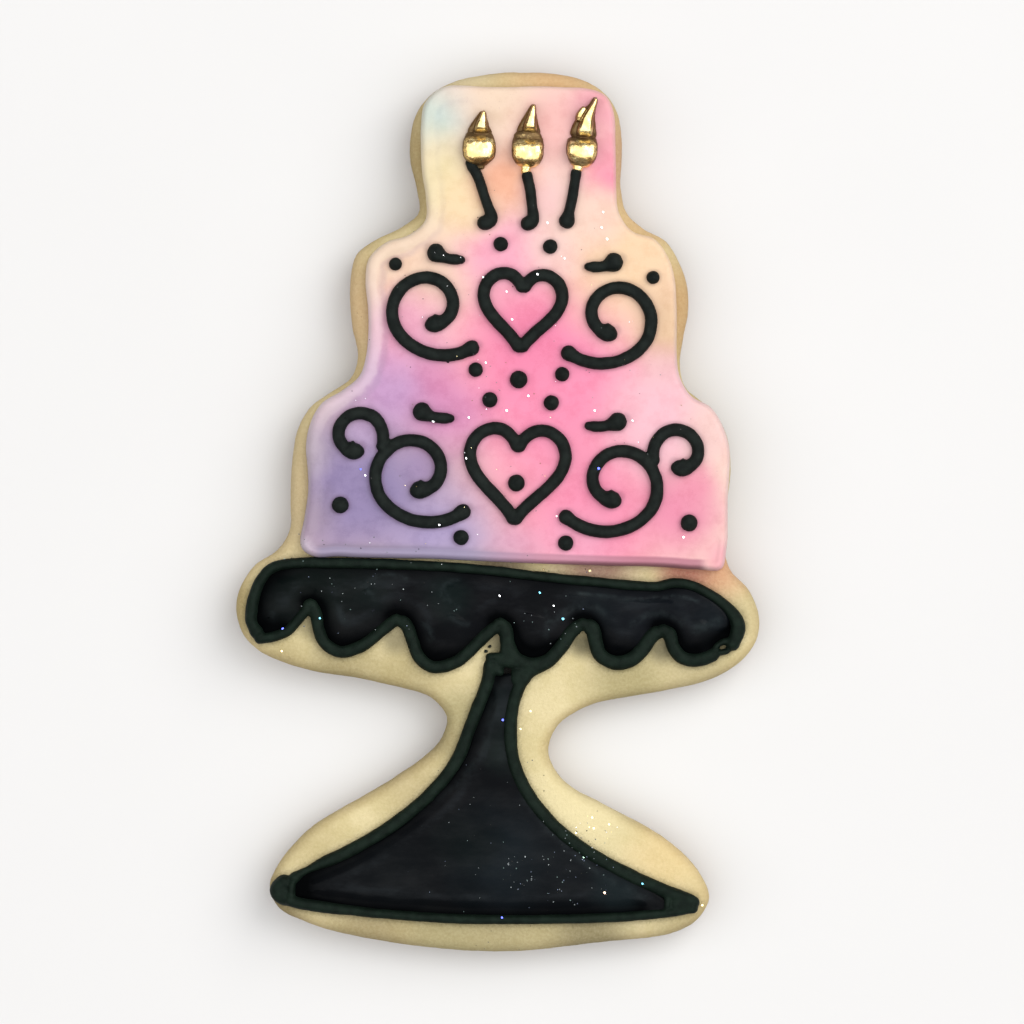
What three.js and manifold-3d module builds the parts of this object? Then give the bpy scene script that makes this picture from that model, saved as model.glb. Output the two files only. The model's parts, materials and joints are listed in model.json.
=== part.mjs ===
// A decorated sugar cookie: a rolled and cut cookie in the outline of a three-tier birthday cake
// on a pedestal stand, flooded and piped with royal icing. It lies flat with the icing upwards.
//
// Units are millimetres. +X is to the right and +Y is towards the top of the drawn cake, +Z is up.
// The origin is at the middle of the cookie's footprint, on the surface that the cookie lies on.

import * as THREE from 'three';
import { mergeVertices } from 'three/addons/utils/BufferGeometryUtils.js';
import Module from 'manifold-3d';

const wasm = await Module();
wasm.setup();

// ---- Driving dimensions ----------------------------------------------------------------------

const cookieLength = 114.3;      // a 4.5 inch cutter, measured along Y
const drawnLength = 114.3;       // length at which the plan points below are drawn
const plan = cookieLength / drawnLength;

const cookieThickness = 7;       // rolled 6 mm thick and puffed a little in the oven
const cookieEdgeRound = 1.7;     // rounding of the baked top edge
const cookieFootRound = 0.8;     // smaller rounding where the dough sat on the tray

const icingThickness = 2;        // flooded royal icing on the three tiers
const rimWidth = 1.5;            // the dam that was piped round the tiers before flooding
const rimHeight = 0.25;          // how far the dam stands above the flooded top

const lineWidth = 1.65;          // decoration piped on the tiers through a small round tip
const lineHeight = 1.2;
const candleWidth = 1.35;        // a lighter squeeze with the same tip
const blobWidth = 2.5;           // where the tip paused at the end of a line
const outlineWidth = 1.5;        // line piped round the cake stand, directly on the cookie
const outlineHeight = 1.5;
const floodDepth = 1.1;          // thinned icing run inside that line
const floodGap = 0.35;           // clearance between pieces that lie side by side

const flameHeight = 2.1;         // gold kisses on the candles
const decorationSlope = -3;      // degrees: the piped rows run slightly downhill

const cookieTop = cookieThickness;
const icingTop = cookieTop + icingThickness;

// ---- Icing and dough colours ------------------------------------------------------------------

const finishes = {
  cookie: { color: 0xe3d49c, roughness: 0.85, metalness: 0 },
  icing: { color: 0xf6a9c4, roughness: 0.55, metalness: 0 },
  piping: { color: 0x1c2a26, roughness: 0.6, metalness: 0 },
  flood: { color: 0x14171c, roughness: 0.4, metalness: 0 },
  gold: { color: 0xd8b45a, roughness: 0.3, metalness: 0.9 },
};

// ---- Plan outlines, drawn clockwise from the top ------------------------------------------------

const cookiePlan = [
  // top tier, right side and shoulder
  [4, 57.2], [10.5, 56.4], [14.6, 53.6], [15.9, 49], [15.9, 41.5], [17.2, 38],
  // middle tier, right side and shoulder
  [21.7, 35.2], [24.2, 30.5], [24.6, 26], [23.5, 19.5], [24.6, 15.7],
  // bottom tier, right side
  [27.8, 13.3], [29.7, 9.8], [30.1, 4.5], [29.3, -1.2], [29.7, -6.8],
  // plate of the stand, right end and underside
  [32.6, -10.3], [33.9, -14], [33, -17.6], [28.5, -21.3], [20, -23.4], [11.5, -25.2],
  // waist and foot, right side
  [7.4, -28], [6.4, -31.3], [8.4, -35], [14.5, -38.5], [22, -42.8], [26.5, -47.6],
  // base
  [27.2, -51.2], [23.4, -54.4], [13.9, -55.8], [0, -57.1], [-14.7, -55.8], [-25, -53.3],
  // foot and waist, left side
  [-29.7, -50.2], [-29.2, -46.8], [-24.7, -41.3], [-15.6, -35.8], [-9, -31.2], [-6.6, -27.6],
  // underside and left end of the plate
  [-8.4, -24.4], [-15, -22.2], [-26.5, -20], [-32.4, -17], [-34.2, -12.6], [-32.6, -7.8],
  // bottom tier, left side
  [-27.6, -3.6], [-27.1, 1], [-26.9, 7], [-25.3, 12.8],
  // middle tier, left side
  [-21.5, 15.9], [-18.4, 18.6], [-19, 24], [-19.4, 29], [-18.2, 34],
  // top tier, left side
  [-13.6, 36.6], [-10.4, 39], [-11.5, 46], [-10.9, 51.5], [-7.7, 55.2], [-1.5, 57],
];

const icingPlan = [
  // top tier, from the left corner
  [-7.4, 55.2], [2, 55.5], [11.8, 55.2], [14.3, 53.1], [15.1, 48], [15.3, 41], [16.3, 37.1],
  // middle tier, right side
  [20.3, 35.4], [22.4, 32], [23, 27], [23.2, 19], [24.2, 15.8],
  // bottom tier, right side and lower corner
  [27.8, 13.3], [29.8, 8.6], [29.7, 2], [29.5, -4.6], [28.6, -6.9],
  // lower edge
  [20, -7], [5, -6.6], [-10, -5.9], [-22, -5.4], [-25.4, -5.2],
  // bottom tier, left side
  [-25.5, -2.5], [-25, 3], [-25, 10], [-22.6, 14.6],
  // middle tier, left side
  [-18.6, 16.9], [-17.1, 21], [-17, 27], [-17.1, 32.4], [-14.2, 35.3],
  // top tier, left side
  [-10.2, 36.6], [-9.4, 39.5], [-9.9, 44], [-10.1, 50], [-9.5, 53.4],
];

// Middle of the line round the plate: over the top from right to left, then six scallops back.
const platePlan = [
  // right end and top
  [29.9, -17.6], [31.1, -14.9], [30, -12.8], [27.2, -10.6], [23, -9.6], [18.8, -10.2],
  [11.5, -9.3], [4, -8.3], [-6, -7.4], [-20, -6.8],
  // left end
  [-28, -6.8], [-31, -8.5], [-32, -12.4], [-31.4, -15.7], [-28.4, -15.7],
  // first scallop
  [-25.6, -13.1], [-24.1, -12], [-23.1, -13.6], [-22.5, -16.7], [-20.4, -18.2],
  // second
  [-17.4, -17], [-14.9, -14.6], [-13.2, -13.6], [-12, -15], [-11, -18.6], [-8.4, -20.1],
  // third
  [-5, -18.7], [-1.6, -15.5], [0.2, -14.3], [1.4, -15.8], [2.3, -18.6], [4.5, -19.5],
  // fourth
  [7.3, -18.2], [9.6, -15.2], [11.1, -14.3], [12.4, -15.5], [13.3, -18.4], [15.3, -19.6],
  // fifth and sixth
  [18.2, -18.3], [19.9, -16], [21.4, -15.2], [22.6, -16.4], [23.7, -18.7], [25.7, -19.3],
  [27.9, -18.6],
];

// Middle of the line round the foot, in four strokes that run into each other.
const footLeftPlan = [
  [-0.8, -18.9], [-1.6, -22.6], [-3.3, -27.6], [-5.3, -32.3], [-8.6, -36.4],
  [-14, -40.8], [-20, -44.1], [-25.4, -46.8], [-29.5, -49],
];
const footBasePlan = [
  [-29.1, -49.4], [-25.6, -50.6], [-20, -51.6], [-8, -52.6],
  [6, -52.8], [18, -52.4], [25.6, -51.2],
];
const footRightPlan = [
  [25, -50.8], [21.5, -49.1], [14, -45.5], [8.8, -42.1], [4.6, -37.6],
  [2, -32.4], [1.3, -28.8], [1.8, -24.5], [2.6, -21.4],
];
const footBridgePlan = [[-0.8, -18.9], [0.3, -19.6], [1.3, -20.6], [2.4, -21.8]];

// ---- Plan geometry ------------------------------------------------------------------------------

function smoothCurve(points, closed) {
  const knots = points.map(([x, y]) => new THREE.Vector3(x * plan, y * plan, 0));
  return new THREE.CatmullRomCurve3(knots, closed, 'centripetal');
}

// Evenly spaced points round a closed smooth outline, anticlockwise.
function closedOutline(points, spacing) {
  const curve = smoothCurve(points, true);
  const count = Math.round(curve.getLength() / spacing);
  const outline = curve.getSpacedPoints(count).slice(0, count).map((p) => new THREE.Vector2(p.x, p.y));
  return THREE.ShapeUtils.isClockWise(outline) ? outline.reverse() : outline;
}

function inwardNormals(outline) {
  return outline.map((_, i) => {
    const before = outline.at(i - 1);
    const after = outline[(i + 1) % outline.length];
    const along = after.clone().sub(before).normalize();
    return new THREE.Vector2(-along.y, along.x);
  });
}

// Radius of the largest circle inside the outline that touches it at each point.
function roomInside(outline, normals) {
  return outline.map((p, i) => {
    let room = Infinity;
    for (const q of outline) {
      const reach = q.clone().sub(p);
      const depth = reach.dot(normals[i]);
      if (depth > 1e-6) room = Math.min(room, reach.lengthSq() / (2 * depth));
    }
    return room;
  });
}

// The outline moved inwards as a whole, without the points that would land too near its far side.
function insetOutline(outline, distance) {
  const normals = inwardNormals(outline);
  const moved = outline.map((p, i) => p.clone().addScaledVector(normals[i], distance));
  const clear = (p) => outline.every((q) => q.distanceTo(p) > 0.97 * distance);
  return moved.filter(clear);
}

// ---- Closed solids ------------------------------------------------------------------------------

function solidFrom(positions, triangles) {
  const geometry = new THREE.BufferGeometry();
  geometry.setAttribute('position', new THREE.Float32BufferAttribute(positions, 3));
  geometry.setIndex(triangles);
  return geometry;
}

// Stacks rings with equal numbers of points into one closed solid. Each ring runs anticlockwise
// as seen from the end of the stack, and each end is closed by its own triangles.
function stackRings(rings, capTriangles) {
  const size = rings[0].length;
  const positions = rings.flat().flatMap((p) => [p.x, p.y, p.z]);
  const triangles = [];
  for (let ring = 0; ring + 1 < rings.length; ring += 1) {
    for (let i = 0; i < size; i += 1) {
      const a = ring * size + i;
      const b = ring * size + (i + 1) % size;
      triangles.push(a, b, b + size, a, b + size, a + size);
    }
  }
  const last = (rings.length - 1) * size;
  for (const [a, b, c] of capTriangles(rings[0])) triangles.push(c, b, a);
  for (const [a, b, c] of capTriangles(rings.at(-1))) triangles.push(last + a, last + b, last + c);
  return solidFrom(positions, triangles);
}

// A slab with the given outline, shaped by steps of [distance in from the edge, height].
function slab(outline, steps) {
  const normals = inwardNormals(outline);
  const room = roomInside(outline, normals);
  const rings = steps.map(([inset, z]) => outline.map((p, i) => {
    const moved = p.clone().addScaledVector(normals[i], Math.min(inset, 0.6 * room[i]));
    return new THREE.Vector3(moved.x, moved.y, z);
  }));
  return stackRings(rings, (ring) => THREE.ShapeUtils.triangulateShape(ring, []));
}

// ---- Piped lines --------------------------------------------------------------------------------

// Half of the cross-section of piped icing, as fractions of its half width and height.
const pipedSection = [[0.9, 0], [1, 0.34], [0.72, 0.82]];
const lineStep = 3.6;            // longest facet along a line
const maxTurn = 27;              // largest change of direction between facets, degrees

const endSteps = [0.12, 0.45, 1]; // sections within a rounded end, as fractions of its length
const fineStep = 0.25;           // spacing at which a curve's direction is tested

// Distances along a curve at which a line gets a section: in both rounded ends, and between them
// wherever the curve has turned by maxTurn or run on for the longest facet.
function stations(curve, endLength, longest) {
  const length = curve.getLength();
  const ends = endSteps.map((part) => part * endLength);
  const marks = [0, ...ends];
  let last = { s: endLength, tangent: curve.getTangentAt(endLength / length) };
  for (let s = 1.2 * endLength; s < length - 1.2 * endLength; s += fineStep) {
    const tangent = curve.getTangentAt(s / length);
    const turned = THREE.MathUtils.radToDeg(tangent.angleTo(last.tangent));
    if (turned > maxTurn || s - last.s > longest) {
      marks.push(s);
      last = { s, tangent };
    }
  }
  return { length, marks: [...marks, ...ends.map((s) => length - s).reverse(), length] };
}

// Width at distance s along a line that starts and ends in round blobs.
function blobbedWidth(s, length, width, startWidth, endWidth) {
  const blob = (distance, end) => {
    const fade = 1 - THREE.MathUtils.smoothstep(distance, 0.45 * end, 1.1 * end);
    return (end - width) * fade;
  };
  return width + blob(s, startWidth) + blob(length - s, endWidth);
}

// How much of its full section a line has near a rounded end.
function endRound(distance, radius) {
  const inside = THREE.MathUtils.clamp(1 - distance / radius, 0, 0.94);
  return Math.sqrt(1 - inside * inside);
}

// How fast a curve bends at a fraction of its length, in radians per millimetre, left positive.
function bendAt(curve, fraction, length) {
  const span = 0.3 / length;
  const from = curve.getTangentAt(Math.max(0, fraction - span));
  const to = curve.getTangentAt(Math.min(1, fraction + span));
  const turn = Math.atan2(from.x * to.y - from.y * to.x, from.dot(to));
  return turn / (2 * span * length);
}

// A line of icing on a flat surface: a flat-bottomed bead that follows a curve. On the inside of
// a tight bend the bead is as narrow as the bend leaves room for.
function pipedLine(curve, base, height, widthAt, endLength, section = pipedSection, step = lineStep) {
  const { length, marks } = stations(curve, endLength, step);
  const rings = marks.map((s) => {
    const middle = curve.getPointAt(s / length);
    const along = curve.getTangentAt(s / length);
    const across = new THREE.Vector3(-along.y, along.x, 0).normalize();
    const width = widthAt(s, length);
    const rounding = endRound(Math.min(s, length - s), endLength);
    const half = 0.5 * width * rounding;
    const top = height(width) * Math.pow(rounding, 0.8);
    const bend = bendAt(curve, s / length, length);
    const nearHalf = Math.min(half, 0.85 / Math.max(bend, 1e-3));
    const farHalf = Math.min(half, 0.85 / Math.max(-bend, 1e-3));
    const near = section.map(([u, v]) => [u * nearHalf, v * top]);
    const far = section.map(([u, v]) => [-u * farHalf, v * top]).reverse();
    return [...near, [0, top], ...far].map(([u, v]) => new THREE.Vector3(
      middle.x + across.x * u,
      middle.y + across.y * u,
      base + v,
    ));
  });
  const fan = (ring) => ring.slice(2).map((_, i) => [0, i + 1, i + 2]);
  return stackRings(rings, fan);
}

// Height of a piped line of some width: wider blobs stand a little taller.
const lineRise = (usualWidth, usualHeight) => (width) => usualHeight * Math.sqrt(width / usualWidth);

function pipedStroke(points, { width, height, start = width, end = width, base }) {
  const curve = smoothCurve(points, false);
  const widthAt = (s, length) => blobbedWidth(s, length, width, start, end);
  return pipedLine(curve, base, lineRise(width, height), widthAt, 0.5 * width);
}

// A dome of icing squeezed straight down.
function pipedDot(x, y, diameter, base) {
  const radius = diameter / 2;
  const height = lineRise(lineWidth, lineHeight)(diameter);
  const profile = [[0, 0], [0.9, 0], [1, 0.34], [0.7, 0.84], [0, 1]];
  const dome = new THREE.LatheGeometry(profile.map(([r, h]) => new THREE.Vector2(r * radius, h * height)), 8);
  dome.rotateX(Math.PI / 2);
  dome.translate(x * plan, y * plan, base);
  return dome;
}

// ---- Joining strokes that ran together ------------------------------------------------------------

function toManifold(geometry) {
  const bare = geometry.clone();
  bare.deleteAttribute('normal');
  bare.deleteAttribute('uv');
  const merged = mergeVertices(bare, 1e-5);
  return new wasm.Manifold(new wasm.Mesh({
    numProp: 3,
    vertProperties: Float32Array.from(merged.attributes.position.array),
    triVerts: Uint32Array.from(merged.index.array),
  }));
}

function fromManifold(manifold) {
  const mesh = manifold.getMesh();
  return solidFrom(Array.from(mesh.vertProperties), Array.from(mesh.triVerts));
}

function joined(...geometries) {
  const solids = geometries.map(toManifold);
  return fromManifold(solids.reduce((sum, solid) => sum.add(solid)));
}

// ---- The object ---------------------------------------------------------------------------------

const cookieShape = new THREE.Group();

function addPiece(name, geometry, finish) {
  const mesh = new THREE.Mesh(geometry, new THREE.MeshStandardMaterial(finishes[finish]));
  mesh.name = name;
  cookieShape.add(mesh);
}

// Dough: a small round at the foot, slightly bulging side and a well rounded top edge.
const cookieOutline = closedOutline(cookiePlan, 3.3);
addPiece('cookie', slab(cookieOutline, [
  [cookieFootRound, 0],
  [0.1, cookieFootRound],
  [0, 0.5 * cookieThickness],
  [0.35 * cookieEdgeRound, cookieTop - 0.45 * cookieEdgeRound],
  [cookieEdgeRound, cookieTop],
]), 'cookie');

// Flooded icing of the three tiers, with the slightly raised dam all round it.
addPiece('cake_icing', slab(closedOutline(icingPlan, 3.1), [
  [0.3, cookieTop],
  [0, cookieTop + 0.35 * icingThickness],
  [0.25 * rimWidth, icingTop - 0.15 * icingThickness],
  [0.65 * rimWidth, icingTop + rimHeight],
  [rimWidth + 0.5, icingTop],
]), 'icing');

// Cake stand: a plate with a scalloped lower edge, and a flared foot.
const outlineRise = { width: outlineWidth, height: outlineHeight, base: cookieTop };
addPiece('plate_outline', pipedStroke(platePlan, { ...outlineRise, start: 1.3, end: 1.7 }), 'piping');
addPiece('foot_outline', joined(
  pipedStroke(footLeftPlan, { ...outlineRise, start: 1.6, end: 3.2 }),
  pipedStroke(footBasePlan, { ...outlineRise, width: 1.3, start: 3.2, end: 1.5 }),
  pipedStroke(footRightPlan, { ...outlineRise, start: 1.5, end: 1.4 }),
  pipedStroke(footBridgePlan, outlineRise),
), 'piping');

function floodInside(points) {
  const inner = insetOutline(closedOutline(points, 1.1), outlineWidth / 2 + floodGap);
  const spaced = closedOutline(inner.map((p) => [p.x / plan, p.y / plan]), 2);
  return slab(spaced, [
    [0, cookieTop],
    [0, cookieTop + 0.55 * floodDepth],
    [0.5, cookieTop + 0.9 * floodDepth],
    [1.4, cookieTop + floodDepth],
  ]);
}
const footInside = [
  ...footLeftPlan.slice(1, -1), [-25.6, -48.9],
  ...footBasePlan.slice(2, -1), [22.2, -50.8],
  ...footRightPlan.slice(1),
];
addPiece('plate_flood', floodInside(platePlan), 'flood');
addPiece('foot_flood', floodInside(footInside), 'flood');

// ---- Candles and flames ---------------------------------------------------------------------------

// Each candle is a line from a pointed top to the round foot where the tip was lifted away.
const candles = [
  { line: [[-4.2, 45.4], [-3.1, 43.9], [-2.2, 41.3], [-1.5, 37.1]], foot: 2.8 },
  { line: [[3.4, 44], [3.8, 42.6], [4, 40.6], [4, 37]], foot: 2.5 },
  { line: [[10.2, 44.2], [9.9, 42.6], [9.5, 40.4], [8.7, 36.9]], foot: 2.2 },
];

// Each flame is a run of kisses, given as widths along a line: nub, bulb, neck, cone and tip.
const flames = [
  {
    line: [[-2.5, 45.5], [-2.5, 47.5], [-2.4, 49.8], [-2.2, 52.3]],
    widths: [[0, 1.5], [0.1, 3.3], [0.3, 4.5], [0.47, 4.3], [0.62, 3.2], [0.76, 2], [1, 0.6]],
  },
  {
    line: [[3.6, 44.8], [3.7, 47.6], [4, 50.2], [4.4, 53.1]],
    widths: [[0, 1.3], [0.14, 3.1], [0.3, 4.3], [0.4, 4.2], [0.52, 3.2], [0.66, 3], [0.84, 1.6], [1, 0.6]],
  },
  {
    line: [[10.3, 45.1], [10.8, 47.8], [11.3, 50.4], [12.1, 53]],
    widths: [[0, 1.3], [0.14, 2.9], [0.32, 3.7], [0.42, 3.5], [0.54, 2.8], [0.74, 2.7], [1, 0.6]],
  },
];
const flameSection = [[0.86, 0], [1, 0.38], [0.75, 0.84]];
const flameStep = 0.7;

function widthBetween(pairs, fraction) {
  const next = Math.max(1, pairs.findIndex(([at]) => at >= fraction));
  const [from, low] = pairs[next - 1];
  const [to, high] = pairs[next];
  return low + (high - low) * THREE.MathUtils.smoothstep(fraction, from, to);
}

function flame({ line, widths }) {
  const curve = smoothCurve(line, false);
  const widest = Math.max(...widths.map(([, width]) => width));
  const height = (width) => flameHeight * Math.pow(width / widest, 0.75);
  const widthAt = (s, length) => widthBetween(widths, s / length);
  return pipedLine(curve, icingTop, height, widthAt, 0.6, flameSection, flameStep);
}

candles.forEach(({ line, foot }, i) => {
  const look = { width: candleWidth, height: lineHeight, start: 0.9, end: foot, base: icingTop };
  addPiece(`candle_${i + 1}`, pipedStroke(line, look), 'piping');
});
flames.forEach((shape, i) => addPiece(`flame_${i + 1}`, flame(shape), 'gold'));

// ---- Piped scrollwork -----------------------------------------------------------------------------

// Shapes are drawn about a row's centre with +X outwards, then mirrored to the left by side = -1.
const degrees = THREE.MathUtils.degToRad;

// Turns a shape's own points into plan points of a row, on the row's slope.
function onRow(row, side, points) {
  const slope = degrees(decorationSlope);
  return points.map(([x, y]) => [
    row.x + side * x * Math.cos(slope) - y * Math.sin(slope),
    row.y + side * x * Math.sin(slope) + y * Math.cos(slope),
  ]);
}

// Half of a heart, from the point at the bottom over one lobe and down into the cleft.
function halfHeart(width, height) {
  const steps = 12;
  return Array.from({ length: steps + 1 }, (_, i) => {
    const t = Math.PI * (1 - i / steps);
    const rise = 13 * Math.cos(t) - 5 * Math.cos(2 * t) - 2 * Math.cos(3 * t) - Math.cos(4 * t);
    return [0.5 * width * Math.sin(t) ** 3, height * (rise + 2.5) / 29];
  });
}

// A spiral scroll about (x, y): it comes in on a lead, goes round once and winds up inside.
function scroll({ x, y, radius, inner, from, sweep, lead = 0 }) {
  const steps = Math.round(Math.abs(sweep) / 20);
  const held = 0.25;
  return Array.from({ length: steps + 1 }, (_, i) => {
    const t = i / steps;
    const wound = Math.max(0, (t - held) / (1 - held)) ** 1.1;
    const opened = lead * Math.max(0, 1 - t / held) ** 2;
    const reach = radius + opened - (radius - inner) * wound;
    const angle = degrees(from + sweep * t);
    return [x + reach * Math.cos(angle), y + reach * Math.sin(angle)];
  });
}

const pipedAt = { width: lineWidth, height: lineHeight, base: icingTop };

function heart(row) {
  const half = halfHeart(row.heart.width, row.heart.height);
  const sides = [1, -1].map((side) => pipedStroke(onRow(row, side, half), pipedAt));
  return joined(...sides);
}

function scrolls(row, side) {
  const strokes = row.scrolls.map((shape) => pipedStroke(
    onRow(row, side, scroll(shape)),
    { ...pipedAt, start: shape.start, end: blobWidth },
  ));
  return joined(...strokes);
}

function leaf(row, side) {
  const { x, y, length, from } = row.leaf;
  const curl = scroll({ x, y, radius: length, inner: length, from, sweep: 46 });
  return pipedStroke(onRow(row, side, curl), { ...pipedAt, width: 1.4, start: 1.1, end: blobWidth });
}

const rows = {
  upper: {
    x: 3,
    y: 25.8,
    heart: { width: 10.2, height: 10.2 },
    scrolls: [{ x: 11.9, y: 0, radius: 5.2, inner: 1.6, from: 214, sweep: 430, lead: 2.6, start: 2 }],
    leaf: { x: 8.6, y: 12.8, length: 6.4, from: 262 },
    dots: [[16.7, 5.5, 1.7], [3.2, 8.8, 1.9], [5.6, -7.6, 1.9]],
    middleDots: [[0, -8.6, 2.3]],
  },
  lower: {
    x: 2.3,
    y: 4.6,
    heart: { width: 12.4, height: 12.4 },
    scrolls: [
      { x: 13, y: -0.2, radius: 5.6, inner: 1.7, from: 210, sweep: 438, lead: 2.6, start: 2 },
      { x: 20.9, y: 4, radius: 3.4, inner: 1.2, from: 208, sweep: -330, start: 1.5 },
    ],
    leaf: { x: 9.6, y: 14, length: 7, from: 260 },
    dots: [[22.6, -4.8, 2.2], [4, 9.8, 2], [6.8, -8.2, 2]],
    middleDots: [[0, -0.8, 2.2]],
  },
};

for (const [name, row] of Object.entries(rows)) {
  addPiece(`heart_${name}`, heart(row), 'piping');
  for (const [side, hand] of [[-1, 'left'], [1, 'right']]) {
    addPiece(`scroll_${name}_${hand}`, scrolls(row, side), 'piping');
    addPiece(`leaf_${name}_${hand}`, leaf(row, side), 'piping');
  }
  const pairs = row.dots.flatMap(([x, y, size]) => [[-1, x, y, size], [1, x, y, size]]);
  const middles = row.middleDots.map(([x, y, size]) => [1, x, y, size]);
  [...pairs, ...middles].forEach(([side, x, y, size], i) => {
    const [[plotX, plotY]] = onRow(row, side, [[x, y]]);
    addPiece(`dot_${name}_${i + 1}`, pipedDot(plotX, plotY, size, icingTop), 'piping');
  });
}

// The plan is moved so that the origin lies at the middle of the cookie's footprint.
const footprint = new THREE.Box2().setFromPoints(cookieOutline).getCenter(new THREE.Vector2());
cookieShape.position.set(-footprint.x, -footprint.y, 0);

export default cookieShape;
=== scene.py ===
# %% [markdown]
# # A sugar cookie in the shape of a birthday cake
#
# This lesson dresses a rolled sugar cookie: baked dough, a coat of flooded royal icing on three
# tiers, lines piped over it, a black cake stand below and three gilded flames on top. The frame
# holds the plain solids of those pieces at their real size. Each one is replaced here by a finer
# mesh of the same piece, because dough and icing have no flat facets anywhere.
#
# The cookie lies flat and everything on it is millimetres thin, so all shapes are worked out in
# millimetres and shrunk to metres at the very end.

# %% Load the frame
import json
import math
import random

import bmesh
import bpy
import numpy as np
from mathutils import Matrix, Vector
from mathutils.bvhtree import BVHTree
from mathutils.geometry import delaunay_2d_cdt
from mathutils.kdtree import KDTree

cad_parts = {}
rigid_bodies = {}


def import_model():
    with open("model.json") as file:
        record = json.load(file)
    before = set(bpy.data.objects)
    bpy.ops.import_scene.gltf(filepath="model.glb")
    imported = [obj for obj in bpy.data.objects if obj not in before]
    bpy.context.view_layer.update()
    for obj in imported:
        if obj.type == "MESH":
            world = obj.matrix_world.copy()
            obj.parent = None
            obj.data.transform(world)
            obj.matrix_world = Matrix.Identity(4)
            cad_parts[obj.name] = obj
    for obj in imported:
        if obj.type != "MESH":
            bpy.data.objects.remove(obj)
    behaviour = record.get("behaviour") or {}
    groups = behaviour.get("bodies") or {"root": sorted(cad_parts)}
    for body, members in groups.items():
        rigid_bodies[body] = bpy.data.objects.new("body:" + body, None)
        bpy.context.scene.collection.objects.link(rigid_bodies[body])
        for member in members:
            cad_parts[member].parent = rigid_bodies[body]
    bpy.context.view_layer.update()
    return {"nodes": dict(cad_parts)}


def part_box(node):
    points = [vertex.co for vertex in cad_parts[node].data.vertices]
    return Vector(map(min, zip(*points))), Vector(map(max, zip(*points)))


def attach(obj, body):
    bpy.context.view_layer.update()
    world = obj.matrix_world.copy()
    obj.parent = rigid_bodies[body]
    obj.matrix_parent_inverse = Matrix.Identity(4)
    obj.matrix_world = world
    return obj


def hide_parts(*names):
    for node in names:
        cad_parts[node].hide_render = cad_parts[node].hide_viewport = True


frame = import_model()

MM = 0.001


def box_mm(node):
    """Lowest and highest corner of a solid, in millimetres."""
    lo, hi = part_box(node)
    return lo / MM, hi / MM


COOKIE_TOP = box_mm("cookie")[1].z
ICING_TOP = box_mm("heart_upper")[0].z
print("dough is", round(COOKIE_TOP, 2), "mm thick,", round(ICING_TOP - COOKIE_TOP, 2), "mm of icing")

# %% [markdown]
# ## Looking down on it
#
# The cookie is seen from straight above. A long lens far away keeps the view nearly parallel, so
# the iced top and the edge of the dough keep the same scale. The light is a very wide skylight
# almost overhead, which draws the broad bright patches on the gold, and a softbox to the upper
# right, which throws soft shadows to the left. The room around is dim and brown near the horizon,
# which gives the gold its brown bands and the black icing its dark sides.

# %% Camera
def add_object(name, data):
    """A new object in the scene."""
    made = bpy.data.objects.new(name, data)
    bpy.context.collection.objects.link(made)
    return made


VIEW_WIDTH = 0.13312
VIEW_CENTRE = Vector((0.00193, 0.0, 0.006))
LENS = 200
SENSOR = 36

lens_data = bpy.data.cameras.new("overhead")
lens_data.lens = LENS
lens_data.sensor_width = SENSOR
lens_data.clip_start = 0.01
lens_data.clip_end = 10
camera = add_object("overhead", lens_data)
camera.location = VIEW_CENTRE + Vector((0, 0, VIEW_WIDTH * LENS / SENSOR))
bpy.context.scene.camera = camera
bpy.context.scene.view_settings.view_transform = "Standard"
print("camera is", round(camera.location.z, 3), "m above the floor")


# %% Lights
LIGHT_DISTANCE = 2.0


def softbox(name, azimuth, elevation, width, height, brightness, colour=(1, 1, 1)):
    """A rectangular light that faces the cookie, and the direction that it lies in.

    Azimuth 0 is beyond the top of the cake, and 90 is to the right of it.
    """
    data = bpy.data.lights.new(name, "AREA")
    data.shape = "RECTANGLE"
    data.size = width
    data.size_y = height
    data.energy = brightness * math.pi * width * height
    data.color = colour
    light = add_object(name, data)
    turn, lift = math.radians(azimuth), math.radians(elevation)
    away = Vector((math.sin(turn) * math.cos(lift), math.cos(turn) * math.cos(lift), math.sin(lift)))
    light.location = away * LIGHT_DISTANCE
    light.rotation_euler = away.to_track_quat("Z", "Y").to_euler()
    light.visible_camera = False
    return away


softbox("skylight", 180, 84, 9.0, 3.0, 1.4)
to_key = softbox("key", 50, 46, 1.5, 1.5, 2.9, colour=(1.0, 0.985, 0.96))


# %% [markdown]
# ## A short way to write node trees
#
# Every finish below is a tree of shader nodes, and every piped line comes from a tree of geometry
# nodes. Two small classes keep them readable: a `Tree` adds nodes and feeds their sockets, and a
# `Value` wraps a socket, so that numbers in a tree are written as ordinary sums.

# %% Trees and values
class Value:
    """A number given by a node. Arithmetic on it adds Math nodes."""

    def __init__(self, tree, socket):
        self.tree = tree
        self.socket = socket

    def math(self, operation, *terms):
        inputs = dict(enumerate(terms))
        return self.tree.value("ShaderNodeMath", {"operation": operation}, inputs)

    def __add__(self, other):
        return self.math("ADD", self, other)

    def __radd__(self, other):
        return self.math("ADD", other, self)

    def __sub__(self, other):
        return self.math("SUBTRACT", self, other)

    def __rsub__(self, other):
        return self.math("SUBTRACT", other, self)

    def __mul__(self, other):
        return self.math("MULTIPLY", self, other)

    def __rmul__(self, other):
        return self.math("MULTIPLY", other, self)

    def __truediv__(self, other):
        return self.math("DIVIDE", self, other)

    def __rtruediv__(self, other):
        return self.math("DIVIDE", other, self)

    def smooth(self, low, high):
        """0 up to low, 1 from high, and a soft change between them."""
        settings = {"interpolation_type": "SMOOTHSTEP"}
        return self.tree.value("ShaderNodeMapRange", settings,
                               {"Value": self, "From Min": low, "From Max": high})


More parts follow.
